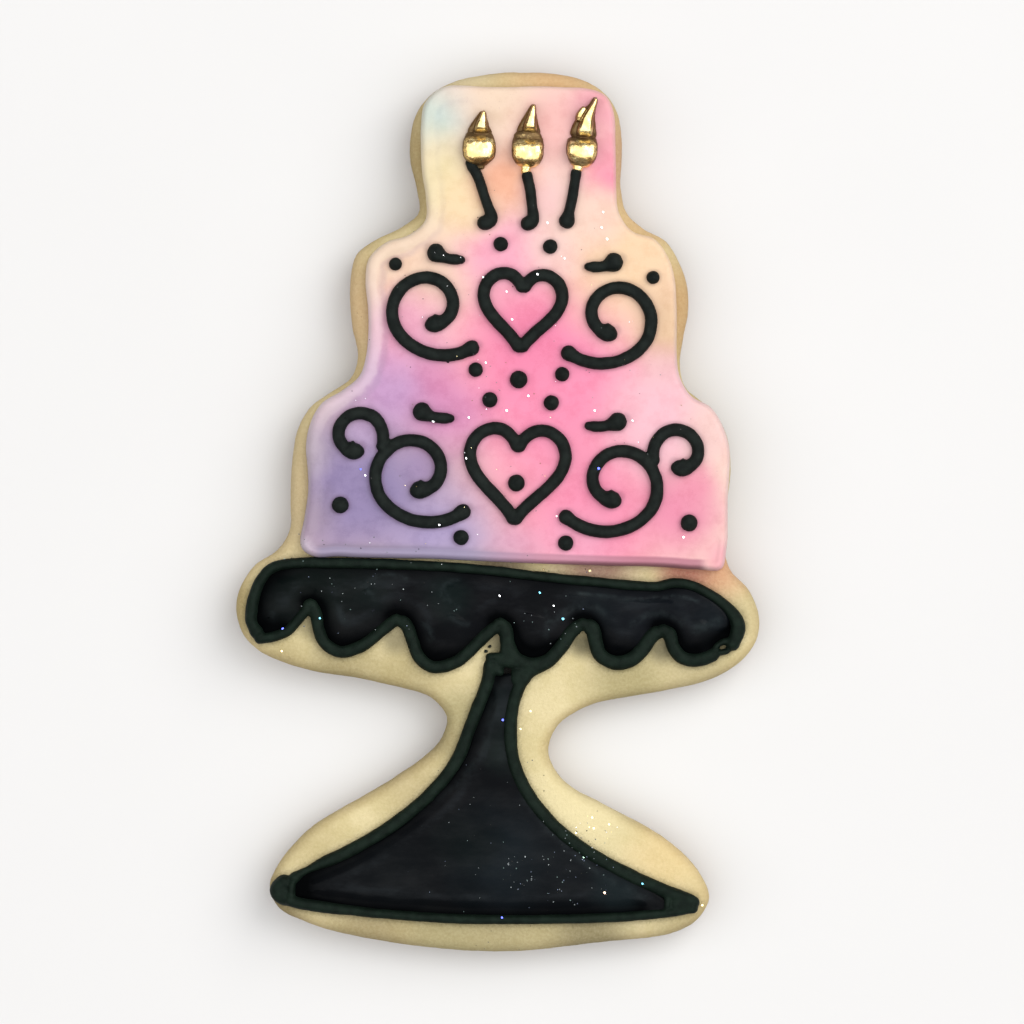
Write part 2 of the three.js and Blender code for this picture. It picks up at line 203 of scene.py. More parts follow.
class Tree:
    """A node tree that is being written."""

    def __init__(self, tree):
        self.tree = tree

    def node(self, kind, settings=None, inputs=None):
        """Adds a node: first its settings, then the value or link of each named or numbered socket."""
        made = self.tree.nodes.new(kind)
        for name, setting in (settings or {}).items():
            setattr(made, name, setting)
        for name, given in (inputs or {}).items():
            self.feed(made.inputs[name], given)
        return made

    def feed(self, socket, given):
        if isinstance(given, Value):
            given = given.socket
        if isinstance(given, bpy.types.NodeSocket):
            self.tree.links.new(given, socket)
        else:
            socket.default_value = given

    def value(self, kind, settings=None, inputs=None, output=0):
        return Value(self, self.node(kind, settings, inputs).outputs[output])

    def vector(self, operation, *terms, **named):
        """A Vector Math node's vector."""
        inputs = {**dict(enumerate(terms)), **named}
        return self.node("ShaderNodeVectorMath", {"operation": operation}, inputs).outputs["Vector"]

    def part(self, vector, axis):
        """What a vector holds for one axis."""
        return self.value("ShaderNodeSeparateXYZ", None, {0: vector}, output=axis)

    def joined(self, x=0.0, y=0.0, z=0.0):
        """A vector made of three numbers."""
        return self.node("ShaderNodeCombineXYZ", None, {"X": x, "Y": y, "Z": z}).outputs[0]

    def mix(self, mask, first, second, blend="MIX"):
        """The first colour where mask is 0, and the second where it is 1."""
        settings = {"data_type": "RGBA", "blend_type": blend}
        return self.node("ShaderNodeMix", settings, {0: mask, 6: first, 7: second}).outputs[2]


LOOKS = 0.72


def linear(code, share=LOOKS):
    """A colour code such as 'F0A8C6' as the linear numbers that shaders use.

    The lights are bright enough that a surface which gives back this share of white looks white.
    Codes say how a place looks, so their numbers are brought down by the share.
    """
    parts = [int(code[i:i + 2], 16) / 255 for i in (0, 2, 4)]
    return (*[share * (p / 12.92 if p <= 0.04045 else ((p + 0.055) / 1.055) ** 2.4) for p in parts], 1)


class Finish(Tree):
    """A material whose tree is being written, with the places on the object in millimetres."""

    def __init__(self, name, share=LOOKS, **constants):
        self.share = share
        self.material = bpy.data.materials.new(name)
        self.material.use_nodes = True
        super().__init__(self.material.node_tree)
        self.shader = self.tree.nodes["Principled BSDF"]
        for socket, constant in constants.items():
            self.shader.inputs[socket.replace("_", " ")].default_value = constant
        metres = self.node("ShaderNodeTexCoord").outputs["Object"]
        self.place = self.vector("SCALE", metres, Scale=1 / MM)

    def noise(self, grains_per_mm, detail=2.0, roughness=0.5, stretch=None):
        """Smooth noise from 0 to 1, mostly about 0.5."""
        place = self.vector("MULTIPLY", self.place, stretch) if stretch else self.place
        return self.value("ShaderNodeTexNoise", None, {
            "Vector": place, "Scale": grains_per_mm, "Detail": detail, "Roughness": roughness})

    def coat(self, under, mask, code):
        """A colour with another one laid over it, which shows fully where mask is 1."""
        return self.mix(mask, under, linear(code, self.share))

    def attribute(self, name):
        return self.value("ShaderNodeAttribute", {"attribute_name": name}, output="Fac")

    def along(self, axis):
        """How far a place lies along an axis, in millimetres."""
        return self.part(self.place, axis)

    def bump(self, relief, depth_mm, strength=1.0):
        made = self.node("ShaderNodeBump", None, {
            "Height": relief, "Distance": depth_mm * MM, "Strength": strength})
        self.feed(self.shader.inputs["Normal"], made.outputs["Normal"])

    def finish(self, **links):
        for socket, given in links.items():
            self.feed(self.shader.inputs[socket.replace("_", " ")], given)
        print("finish:", self.material.name, "with", len(self.tree.nodes), "nodes")
        return self.material


# %% The dim room
ROOM_DARK, ROOM_PALE = 0.16, 0.38
BROWNISH, WHITISH = (1.0, 0.80, 0.62, 1), (0.98, 0.98, 1.0, 1)

world = bpy.data.worlds.new("room")
bpy.context.scene.world = world
world.use_nodes = True
room = Tree(world.node_tree)
direction = room.node("ShaderNodeTexCoord").outputs["Generated"]
upwards = room.part(direction, "Z").smooth(0.1, 0.85)
background = world.node_tree.nodes["Background"]
room.feed(background.inputs["Color"], room.mix(upwards, BROWNISH, WHITISH))
room.feed(background.inputs["Strength"], ROOM_DARK + upwards * (ROOM_PALE - ROOM_DARK))
print("the room shines from", ROOM_DARK, "at the horizon to", ROOM_PALE, "overhead")


# %% [markdown]
# ## The floor
#
# The cookie lies on a plain pale surface. It is one large sheet, with only the faintest unevenness
# of tone.

# %% Floor
FLOOR_SIZE = 6.0

paper = Finish("pale_paper", Roughness=0.9)
paper.finish(Base_Color=paper.coat(linear("F6F6F6"), paper.noise(0.02), "F3F3F3"))

floor_mesh = bpy.data.meshes.new("floor")
corners = [(x * FLOOR_SIZE / 2, y * FLOOR_SIZE / 2, 0) for x, y in [(-1, -1), (1, -1), (1, 1), (-1, 1)]]
floor_mesh.from_pydata(corners, [], [(0, 1, 2, 3)])
floor_mesh.materials.append(paper.material)
floor = add_object("floor", floor_mesh)


# %% [markdown]
# ## Outlines
#
# Dough and icing are slabs with a free outline. The frame's solids have those outlines as a coarse
# loop of corners. A Catmull-Rom curve through the corners gives the smooth edge back, and equal
# steps along it give an even mesh later.

# %% Smooth outlines
def catmull_rom(corners, closed, pieces=24):
    """Points on the smooth curve through the corners, with knots spaced by the root of distance."""
    p = np.asarray(corners, float)
    if closed:
        p = np.vstack([p[-1], p, p[0], p[1]])
    else:
        p = np.vstack([2 * p[0] - p[1], p, 2 * p[-1] - p[-2]])
    t = np.linspace(0, 1, pieces, endpoint=False)[:, None]
    runs = []
    for a, b, c, d in zip(p, p[1:], p[2:], p[3:]):
        ab, bc, cd = (math.sqrt(np.linalg.norm(v)) for v in (b - a, c - b, d - c))
        leave = ((b - a) / ab - (c - a) / (ab + bc) + (c - b) / bc) * bc
        arrive = ((c - b) / bc - (d - b) / (bc + cd) + (d - c) / cd) * bc
        cubic = 2 * b - 2 * c + leave + arrive
        square = -3 * b + 3 * c - 2 * leave - arrive
        runs.append(b + leave * t + square * t ** 2 + cubic * t ** 3)
    if not closed:
        runs.append(p[-2][None])
    return np.vstack(runs)


def distances(points):
    """How far along a line each of its points lies."""
    return np.concatenate([[0], np.cumsum(np.linalg.norm(np.diff(points, axis=0), axis=1))])


def evenly(points, step, closed=False):
    """The same line with its points a step apart."""
    if closed:
        points = np.vstack([points, points[:1]])
    along = distances(points)
    marks = np.linspace(0, along[-1], max(3, round(along[-1] / step)) + 1)
    if closed:
        marks = marks[:-1]
    return np.column_stack([np.interp(marks, along, points[:, k]) for k in (0, 1)])


def anticlockwise(loop):
    """A closed loop, turned round if it runs clockwise."""
    x, y = loop.T
    area = np.sum(x * np.roll(y, -1) - y * np.roll(x, -1))
    return loop if area > 0 else loop[::-1]


def bell(x):
    """1 at 0, and fading out on both sides until about 2."""
    return np.exp(-x ** 2)


def corner_loop(node, height):
    """The loop of a solid's corners at one height, in millimetres, anticlockwise."""
    shape = bmesh.new()
    shape.from_mesh(frame["nodes"][node].data)
    bmesh.ops.remove_doubles(shape, verts=shape.verts, dist=1e-3 * MM)
    level = {v for v in shape.verts if abs(v.co.z / MM - height) < 0.01}
    beside = {}
    for edge in shape.edges:
        a, b = edge.verts
        leaves = any(v not in level for face in edge.link_faces for v in face.verts)
        if a in level and b in level and leaves:
            beside.setdefault(a, []).append(b)
            beside.setdefault(b, []).append(a)
    start = next(iter(beside))
    walk = [start, beside[start][0]]
    while walk[-1] is not start:
        walk.append(next(v for v in beside[walk[-1]] if v is not walk[-2]))
    loop = np.array([v.co.xy[:] for v in walk[:-1]]) / MM
    shape.free()
    return anticlockwise(loop)


OUTLINE_STEP = 0.35
ICING_BULGE = 0.35  # how far up its own height the icing is widest
dough_outline = evenly(catmull_rom(corner_loop("cookie", COOKIE_TOP / 2), True), OUTLINE_STEP, True)
icing_widest = COOKIE_TOP + ICING_BULGE * (ICING_TOP - COOKIE_TOP)
icing_outline = evenly(catmull_rom(corner_loop("cake_icing", icing_widest), True), OUTLINE_STEP, True)
# here and there the icing's edge bulges or falls short: where, by how much, and how far along
for place, shift, reach in [
    ((3, 55.3), (0, -0.3), 8), ((14.5, 53), (0.2, 0.25), 3), ((-19, -5.5), (0, -0.25), 8),
    ((-25.6, -5.3), (-0.45, -0.2), 1.5), ((-25.3, 4.5), (0.3, 0), 5.5),
    ((28.8, -6.9), (0.35, -0.4), 1.6), ((10, 55.4), (0, -0.4), 3.5), ((-2.5, 55.5), (0, -0.2), 3),
]:
    away = np.linalg.norm(icing_outline - place, axis=1)
    icing_outline += bell(away / reach)[:, None] * shift
print("outlines:", len(dough_outline), "points round the dough,", len(icing_outline), "round the icing")


# %% [markdown]
# ## Slabs with a shaped top
#
# A slab is made in three parts: a triangulated top whose height follows a rule, a few rings down
# the side, and a triangulated underside. The rule gets two things at each point, its place and its
# distance from the edge, which is enough for rounded shoulders, a raised rim and soft waves.

# %% Slabs
def inward(loop):
    """Unit vectors that point to the inside of an anticlockwise loop."""
    along = np.roll(loop, -1, axis=0) - np.roll(loop, 1, axis=0)
    along /= np.linalg.norm(along, axis=1)[:, None]
    return np.column_stack([-along[:, 1], along[:, 0]])


def search_tree(places):
    """A tree that finds the nearest of some flat places."""
    tree = KDTree(len(places))
    for i, (x, y) in enumerate(places):
        tree.insert((x, y, 0), i)
    tree.balance()
    return tree


def nearest(points, sources, extra=None):
    """Distance from each point to the nearest source, less that source's extra reach."""
    tree = search_tree(sources)
    found = [tree.find((x, y, 0)) for x, y in points]
    reach = 0 if extra is None else extra[[index for _, index, _ in found]]
    return np.array([distance for _, _, distance in found]) - reach


def inside(points, loop):
    """True for the points that lie within a closed loop."""
    x, y = points[:, :1], points[:, 1:]
    (x0, y0), (x1, y1) = loop.T, np.roll(loop, -1, axis=0).T
    spans = (y0 > y) != (y1 > y)
    crossing = x0 + (y - y0) * (x1 - x0) / np.where(y1 == y0, 1e-9, y1 - y0)
    return (spans & (x < crossing)).sum(axis=1) % 2 == 1


FINE_STEP = 0.06
RING_KEPT = 0.96  # points of a ring stay if they are at least this share of its inset from the edge
ROW_STEP = 0.866  # rows of an even triangular grid, as a share of its spacing
GRID_GAP = 0.6    # the grid starts this share of its spacing inside the last ring


def filled(loop, insets, spacing):
    """Triangles inside a loop: along rings near its edge, and on a staggered grid within.

    Gives the points, how far each is from the edge, the triangles, and the points of the loop.
    """
    fine = evenly(loop, FINE_STEP, True)
    normals = inward(loop)
    points = [loop]
    for inset in insets:
        ring = loop + normals * inset
        points.append(ring[nearest(ring, fine) > RING_KEPT * inset])
    lo, hi = loop.min(axis=0), loop.max(axis=0)
    rows = np.arange(lo[1], hi[1], spacing * ROW_STEP)
    grid = np.array([[x + (row % 2) * spacing / 2, y] for row, y in enumerate(rows)
                     for x in np.arange(lo[0], hi[0], spacing)])
    margin = (insets[-1] if insets else 0) + GRID_GAP * spacing
    grid = grid[nearest(grid, fine) > margin]
    points.append(grid[inside(grid, loop)])
    flat = np.vstack(points)
    rim = [(i, (i + 1) % len(loop)) for i in range(len(loop))]
    verts, _, faces, origin, _, _ = delaunay_2d_cdt([Vector(p) for p in flat], rim, [], 1, 1e-7)
    used = sorted({i for face in faces for i in face})
    renumber = {old: new for new, old in enumerate(used)}
    places = np.array([verts[i][:] for i in used])
    edge = {source: renumber[i] for i in used for source in origin[i] if source < len(loop)}
    faces = [[renumber[i] for i in face] for face in faces]
    depth = nearest(places, fine)
    depth[list(edge.values())] = 0
    return places, depth, faces, [edge[i] for i in range(len(loop))]


def give(mesh, name, values):
    """Stores a number for each point of a mesh, for its finish or a tree to read."""
    mesh.attributes.new(name, "FLOAT", "POINT").data.foreach_set("value", values)


def slab(name, loop, top, side, insets, spacing):
    """A closed slab. `top` gives heights, and `side` is rings of (inset, height) below its edge."""
    places, depth, faces, rim = filled(loop, insets, spacing)
    normals = inward(loop)
    verts = [np.column_stack([places, top(places, depth)])]
    depths = [depth]
    start = len(places)
    above = rim
    quads = []
    for inset, height in side:
        ring = loop + normals * inset
        verts.append(np.column_stack([ring, np.broadcast_to(height, len(ring))]))
        depths.append(np.zeros(len(ring)))
        below = list(range(start, start + len(ring)))
        start += len(ring)
        for i in range(len(ring)):
            j = (i + 1) % len(ring)
            quads.append((above[i], below[i], below[j], above[j]))
        above = below
    base = side[-1][1]
    bottom, _, bottom_faces, bottom_rim = filled(loop + normals * side[-1][0], [], 4 * spacing)
    level = np.full(len(bottom), np.min(base))
    level[bottom_rim] = base
    verts.append(np.column_stack([bottom, level]))
    depths.append(np.zeros(len(bottom)))
    bottom_faces = [[start + i for i in reversed(face)] for face in bottom_faces]
    mesh = bpy.data.meshes.new(name)
    mesh.from_pydata(np.vstack(verts).tolist(), [], faces + quads + bottom_faces)
    give(mesh, "edge_mm", np.concatenate(depths))
    shape = bmesh.new()
    shape.from_mesh(mesh)
    bmesh.ops.remove_doubles(shape, verts=shape.verts, dist=1e-4)
    bmesh.ops.recalc_face_normals(shape, faces=shape.faces)
    shape.to_mesh(mesh)
    shape.free()
    return mesh


# %% [markdown]
# ## Rough surfaces
#
# Nothing that is baked or piped is perfectly smooth. One geometry nodes tree gives any piece its
# unevenness: it moves each point along its normal by two sizes of noise, one for lumps and one for
# grain. The tree is built once, and each piece sets its own sizes.

# %% A tree that roughens
def group(name, sockets):
    """A geometry tree with named inputs of the given types and defaults, and its in and out nodes."""
    tree = Tree(bpy.data.node_groups.new(name, "GeometryNodeTree"))
    face = tree.tree.interface
    face.new_socket("Geometry", in_out="OUTPUT", socket_type="NodeSocketGeometry")
    face.new_socket("Geometry", in_out="INPUT", socket_type="NodeSocketGeometry")
    for label, kind, default in sockets:
        made = face.new_socket(label, in_out="INPUT", socket_type=f"NodeSocket{kind}")
        if default is not None:
            made.default_value = default
    given = tree.node("NodeGroupInput").outputs
    return tree, given, tree.node("NodeGroupOutput").inputs[0]


def add_nodes(holder, tree, **inputs):
    """Puts a geometry tree on an object, with its inputs set by the sockets' identifiers."""
    modifier = holder.modifiers.new(tree.name, "NODES")
    modifier.node_group = tree
    for item in tree.interface.items_tree:
        key = item.name.replace(" ", "_").lower()
        if item.in_out == "INPUT" and key in inputs:
            modifier[item.identifier] = inputs[key]


def shifted(tree, geometry, **where):
    """Geometry with its points moved by an Offset or to a Position."""
    return tree.node("GeometryNodeSetPosition", None, {"Geometry": geometry, **where}).outputs[0]


def hand_back(tree, geometry, given, out):
    """Ends a tree: what it made becomes one plain mesh with the given material."""
    whole = tree.node("GeometryNodeRealizeInstances", None, {"Geometry": geometry}).outputs[0]
    coloured = {"Geometry": whole, "Material": given["Material"]}
    tree.feed(out, tree.node("GeometryNodeSetMaterial", None, coloured).outputs[0])
    return tree.tree


def roughening_tree():
    tree, given, out = group("roughen", [
        ("Lump size", "Float", 2.0), ("Lump depth", "Float", 0.05), ("Grain size", "Float", 0.4),
        ("Grain depth", "Float", 0.02), ("Seed", "Float", 0.0), ("Material", "Material", None)])
    place = tree.node("GeometryNodeInputPosition").outputs[0]
    moved = tree.vector("ADD", place, tree.joined(given["Seed"], given["Seed"], given["Seed"]))

    def noise(size, detail):
        scale = 1 / Value(tree, given[size])
        inputs = {"Vector": moved, "Scale": scale, "Detail": detail}
        return tree.value("ShaderNodeTexNoise", None, inputs)

    lumps = (noise("Lump size", 1.0) - 0.5) * Value(tree, given["Lump depth"])
    grain = (noise("Grain size", 2.0) - 0.5) * Value(tree, given["Grain depth"])
    normal = tree.node("GeometryNodeInputNormal").outputs[0]
    offset = tree.vector("SCALE", normal, Scale=(lumps + grain) * 2)
    return hand_back(tree, shifted(tree, given["Geometry"], Offset=offset), given, out)


roughen = roughening_tree()


def plain_mesh(holder):
    """What an object's modifiers make of it, as a mesh of its own. The object goes."""
    evaluated = holder.evaluated_get(bpy.context.evaluated_depsgraph_get())
    result = bpy.data.meshes.new_from_object(evaluated)
    bpy.data.objects.remove(holder)
    return result


def settled(mesh, lumps, grain, seed=0.0, voxel=None, melt=0):
    """A mesh with its overlaps fused at a voxel size, its creases melted a little and roughened.

    Lumps and grain are each a size and a depth.
    """
    holder = add_object(mesh.name, mesh)
    if voxel:
        fuse = holder.modifiers.new("fuse", "REMESH")
        fuse.mode = "VOXEL"
        fuse.voxel_size = voxel
    if melt:
        soften = holder.modifiers.new("melt", "SMOOTH")
        soften.factor = 0.5
        soften.iterations = melt
    add_nodes(holder, roughen, seed=seed, lump_size=lumps[0], lump_depth=lumps[1],
              grain_size=grain[0], grain_depth=grain[1])
    return plain_mesh(holder)


def places_of(mesh):
    """Where each point of a mesh lies, seen from above."""
    return np.array([v.co.xy[:] for v in mesh.vertices])


def place_piece(name, mesh, material, nodes, smooth=True):
    """Turns a mesh in millimetres into a finished piece that stands for solids of the frame."""
    mesh.transform(Matrix.Scale(MM, 4))
    mesh.materials.clear()
    mesh.materials.append(material)
    mesh.polygons.foreach_set("use_smooth", [smooth] * len(mesh.polygons))
    mesh.update()
    piece = add_object(name, mesh)
    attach(piece, "root")
    if nodes:
        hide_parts(*nodes)
    triangles = sum(len(face.vertices) - 2 for face in mesh.polygons)
    print("piece:", name, "with", triangles, "triangles for", ", ".join(nodes) or "no solid")


# %% [markdown]
# ## Routes of the piped lines
#
# A piping tip leaves a flat-bottomed bead along the path of the hand. The routes below are the
# middles of those beads, in millimetres on the cookie's plan. The plan's zero lies a little beside
# the frame's, so one piped dot that both share gives the shift between them.

# %% Plan of the cake stand
plate_edge = [
    # right end and top edge
    (29.95, -17.85), (30.5, -16.7), (31.05, -15), (30.6, -13.5), (29.4, -12.1), (27.9, -10.95),
    (26, -9.85), (24, -9.2), (22.4, -9.15), (20.6, -9.6), (18, -9.5), (12, -8.95), (4, -8.15),
    (0, -7.65), (-6, -7.1), (-12, -6.8), (-20, -6.55),
    # left end
    (-27, -6.6), (-29.6, -7.3), (-30.9, -8.8), (-31.7, -10.7), (-32.1, -12.7), (-32.1, -14.2),
    (-31.5, -15.4), (-30.8, -16.1),
]
# the scallops from left to right, each piped from one peak to the next, with their widths: the first
# is only a short rise to a peak, and the other five hang down in a curve
scallops = [
    ([(-31.75, -16.3), (-30.4, -16.3), (-29.2, -16.1), (-27.5, -15.4), (-25.8, -13.6),
      (-24.5, -12)], 1.35),
    ([(-24.5, -11.9), (-23.75, -13.2), (-23.4, -15), (-22.6, -16.9), (-20.6, -18.1), (-17.8, -17.3),
      (-15.2, -15.3), (-13.4, -13.9)], 1.6),
    ([(-13.2, -13.8), (-12.1, -14.5), (-11.2, -16.6), (-10.4, -18.7), (-8.5, -20.05), (-5.6, -19.4),
      (-3.9, -18.1), (-1.7, -15.9), (0, -14.5)], 1.65),
    ([(0.1, -14.3), (0.85, -15.3), (1.1, -17), (2.2, -19), (4.3, -19.75), (6.4, -19.2), (8.1, -17.4),
      (9.5, -15.4), (10.8, -14.4)], 1.85),
    ([(11, -14.3), (12.1, -15.1), (12.5, -16.6), (13.1, -18.4), (15, -19.5), (17.1, -19.1),
      (18.5, -17.9), (19.9, -16), (21.2, -15.2)], 1.9),
    ([(21.4, -15.1), (22.2, -16), (22.6, -17.4), (23.7, -18.8), (25.4, -19.2), (27.3, -18.7),
      (28.4, -18)], 1.75),
]
foot_left_route = [
    (-0.8, -18.95), (-1.15, -20.4), (-1.5, -22), (-2.05, -23.6), (-2.7, -25.2), (-3.7, -27.8),
    (-5.5, -32.2), (-8.75, -36.35), (-14.1, -40.75), (-20, -44.2), (-22, -45.1), (-24, -45.95),
    (-25.6, -46.75), (-27.2, -47.9),
]
foot_base_route = [
    (-27.8, -49.9), (-26.4, -50.55), (-24, -51), (-20, -51.55), (-8, -52.6), (6, -52.8), (18, -52.35),
    (22, -51.9), (24, -51.6), (25.8, -51.1),
]
foot_right_route = [
    (25.9, -51), (24.6, -50.3), (23.2, -49.75), (21.5, -49.1), (14, -45.5), (8.8, -42.1), (4.5, -37.6),
    (2.1, -33), (1.45, -28.8), (1.85, -25), (2.3, -23.3), (3, -21.8), (3.8, -20.6),
]

# %% Plan of the candles and the scrollwork
# each candle's route from its flame down, the widths of its top and of its foot, and the heel where
# the first two turn to the left
candles = [
    ([(-4.2, 45.55), (-3.1, 44.2), (-2.45, 42.8), (-1.95, 41.2), (-1.4, 39.6), (-1, 38.5),
      (-1.05, 37.75), (-1.7, 37.5), (-2.8, 37.6)], 0.8, 1.65, [(-1.5, 38, 0.5, 0.9)]),
    ([(3.55, 44.3), (3.8, 43), (4.08, 41.5), (4.3, 39.6), (4.45, 38.3), (4.3, 37.6), (3.7, 37.45),
      (2.85, 37.6)], 1.5, 1.65, [(3.85, 38, 0.45, 0.9)]),
    ([(10.1, 44.6), (9.8, 42.5), (9.45, 40.5), (9.1, 38.9), (8.8, 37.8), (8.3, 36.9)], 1.5, 2.1, []),
]

# the scrollwork of the two lower tiers, about the middle of each row and for its right half only: the
# heart's height, the scrolls with the width of each one's first blob, and the dots as x, y and width
rows = {
    "upper": {
        "x": 3, "y": 25.8, "heart": 10.2,
        "scrolls": [(2, dict(x=11.9, y=0, radius=5.2, inner=1.6, start=214, sweep=430, lead=2.6))],
        "leaf": dict(x=8.6, y=12.8, radius=6.4, inner=6.4, start=262, sweep=46),
        "dots": [(16.7, 5.5, 1.7), (3.2, 8.8, 1.9), (5.6, -7.6, 1.9)],
        "middle": (0, -8.6, 2.3),
    },
    "lower": {
        "x": 2.3, "y": 4.6, "heart": 12.4,
        "scrolls": [
            (2, dict(x=13, y=-0.2, radius=5.6, inner=1.7, start=210, sweep=438, lead=2.6)),
            (1.5, dict(x=20.9, y=4, radius=3.4, inner=1.2, start=208, sweep=-330)),
        ],
        "leaf": dict(x=9.6, y=14, radius=7, inner=7, start=260, sweep=46),
        "dots": [(22.6, -4.8, 2.2), (4, 9.8, 2), (6.8, -8.2, 2)],
        "middle": (0, -0.8, 2.2),
    },
}
SLOPE = math.radians(-3)  # the rows run a little downhill to the right


def on_row(row, side, points):
    """Points drawn about a row's middle, mirrored by side = -1, as places on the plan."""
    x, y = np.asarray(points, float).T
    return np.column_stack([
        row["x"] + side * x * math.cos(SLOPE) - y * math.sin(SLOPE),
        row["y"] + side * x * math.sin(SLOPE) + y * math.cos(SLOPE)])


middle = on_row(rows["lower"], 1, [rows["lower"]["middle"][:2]])[0]
dot_lo, dot_hi = box_mm("dot_lower_7")
PLAN_SHIFT = np.array(((dot_lo + dot_hi) / 2)[:2]) - middle
print("the plan lies", PLAN_SHIFT.round(3), "mm from the frame's zero")


def on_plan(route, step, closed=False):
    """A smooth line along a route of the plan, in the frame's own millimetres."""
    return evenly(catmull_rom(np.asarray(route, float) + PLAN_SHIFT, closed), step, closed)


def half_heart(size):
    """Half of a heart, from its point over one lobe and down into the cleft."""
    t = np.linspace(math.pi, 0, 13)
    rise = 13 * np.cos(t) - 5 * np.cos(2 * t) - 2 * np.cos(3 * t) - np.cos(4 * t)
    return np.column_stack([0.5 * size * np.sin(t) ** 3, size * (rise + 2.5) / 29])


HELD = 0.25            # the share of a scroll's turn that keeps its full radius
DEGREES_A_POINT = 20


def scroll(x, y, radius, inner, start, sweep, lead=0):
    """A spiral about x and y that comes in from `lead` further out and winds up at `inner`.

    Its first angle and the whole turn are in degrees, anticlockwise from the right.
    """
    t = np.linspace(0, 1, round(abs(sweep) / DEGREES_A_POINT) + 1)
    wound = np.maximum(0, (t - HELD) / (1 - HELD)) ** 1.1
    opened = lead * np.maximum(0, 1 - t / HELD) ** 2
    reach = radius + opened - (radius - inner) * wound
    angle = np.radians(start + sweep * t)
    return np.column_stack([x + reach * np.cos(angle), y + reach * np.sin(angle)])


# %% [markdown]
# ## A tree that pipes icing
#
# A stroke is given as a chain of points that each know how wide and how high the bead is there.
# The tree turns the chain into a curve, lets the hand waver a little, and sweeps a round section
# with a flat underside along it. Strokes that cross or touch ran together while the icing was wet,
# so the swept tubes are fused afterwards and their creases melted.

# %% The piping tree
FLAT_CUT = 0.3
SECTION_SIDES = 20


def piping_tree():
    tree, given, out = group("pipe icing", [
        ("Waver", "Float", 0.06), ("Waver length", "Float", 3.0), ("Swell", "Float", 0.08),
        ("Fullness", "Float", 1.0), ("Seed", "Float", 0.0), ("Material", "Material", None)])

    def named(name):
        return tree.value("GeometryNodeInputNamedAttribute", None, {"Name": name})

    curve = tree.node("GeometryNodeMeshToCurve", None, {"Mesh": given["Geometry"]}).outputs[0]
    place = tree.node("GeometryNodeInputPosition").outputs[0]
    lookup = tree.vector("ADD", place, tree.joined(z=given["Seed"]))
    often = 1 / Value(tree, given["Waver length"])
    noise = tree.node("ShaderNodeTexNoise", None, {"Vector": lookup, "Scale": often, "Detail": 1.0})
    centred = tree.vector("SUBTRACT", noise.outputs["Color"], (0.5, 0.5, 0.5))
    level = tree.vector("MULTIPLY", centred, (2, 2, 0))
    waver = tree.vector("SCALE", level, Scale=given["Waver"])
    wavered = shifted(tree, curve, Offset=waver)
    upright = tree.node("GeometryNodeSetCurveNormal", {"mode": "Z_UP"}, {"Curve": wavered}).outputs[0]

    sides = {"Resolution": SECTION_SIDES, "Radius": 1.0}
    circle = tree.node("GeometryNodeCurvePrimitiveCircle", None, sides).outputs[0]

    def filled_out(axis):
        """The circle pushed out towards a square as far as the fullness says."""
        side = tree.part(place, axis)
        size = side.math("ABSOLUTE", side)
        return side.math("SIGN", side) * side.math("POWER", size, 1 / Value(tree, given["Fullness"]))

    across, up = filled_out("X"), filled_out("Y")
    # the sweep turns the section over, so its rise is counted downwards
    rise = (up.math("MAXIMUM", up, -FLAT_CUT) + FLAT_CUT) * (-1 / (1 + FLAT_CUT))
    section = shifted(tree, circle, Position=tree.joined(across, rise))

    swell = 1 + (Value(tree, noise.outputs["Fac"]) - 0.5) * 2 * Value(tree, given["Swell"])
    swept = tree.node("GeometryNodeCurveToMesh", None, {
        "Curve": upright, "Profile Curve": section,
        "Scale": named("half_width") * swell, "Fill Caps": True}).outputs[0]
    # so far the bead is as high as half its width, and now it gets its own height
    lift = tree.part(place, "Z") - named("base")
    raised = named("base") + lift * named("rise") / (named("half_width") * swell)
    own_height = tree.joined(tree.part(place, "X"), tree.part(place, "Y"), raised)
    return hand_back(tree, shifted(tree, swept, Position=own_height), given, out)


pipe_icing = piping_tree()


# %% Strokes and beads
STROKE_STEP = 0.22
ROUND_END = 0.94  # 1 would bring a bead's ends to a point
END_RISE = 0.8    # below 1, a bead's height falls off later than its width
BLOB_BODY, BLOB_NECK = 0.45, 1.1  # where an end's blob starts and stops to narrow, in its own widths


def smoothstep(x, low, high):
    """0 up to low, 1 from high, and a soft change between them, for arrays."""
    t = np.clip((x - low) / (high - low), 0, 1)
    return t * t * (3 - 2 * t)


def stroke(route, width, height, base, start=None, end=None, swells=()):
    """A route with its bead's half width and height at each point. Both ends are round blobs.

    A swell is a place where the hand slowed down, or hurried if it is negative: its x and y, how
    much wider the bead is there, and how far that reaches.
    """
    points = on_plan(route, STROKE_STEP)
    along = distances(points)
    left = along[-1] - along
    start, end = start or width, end or width
    full = width + (start - width) * (1 - smoothstep(along, BLOB_BODY * start, BLOB_NECK * start))
    full += (end - width) * (1 - smoothstep(left, BLOB_BODY * end, BLOB_NECK * end))
    for x, y, extra, reach in swells:
        away = np.linalg.norm(points - PLAN_SHIFT - (x, y), axis=1)
        full += extra * bell(away / reach)
    short = np.minimum(np.clip(along / (0.5 * start), 0, 1), np.clip(left / (0.5 * end), 0, 1))
    rounding = np.sqrt(1 - ((1 - short) * ROUND_END) ** 2)
    rise = height * np.sqrt(full / width) * rounding ** END_RISE
    return {"points": points, "half": 0.5 * full * rounding, "rise": rise, "base": base}


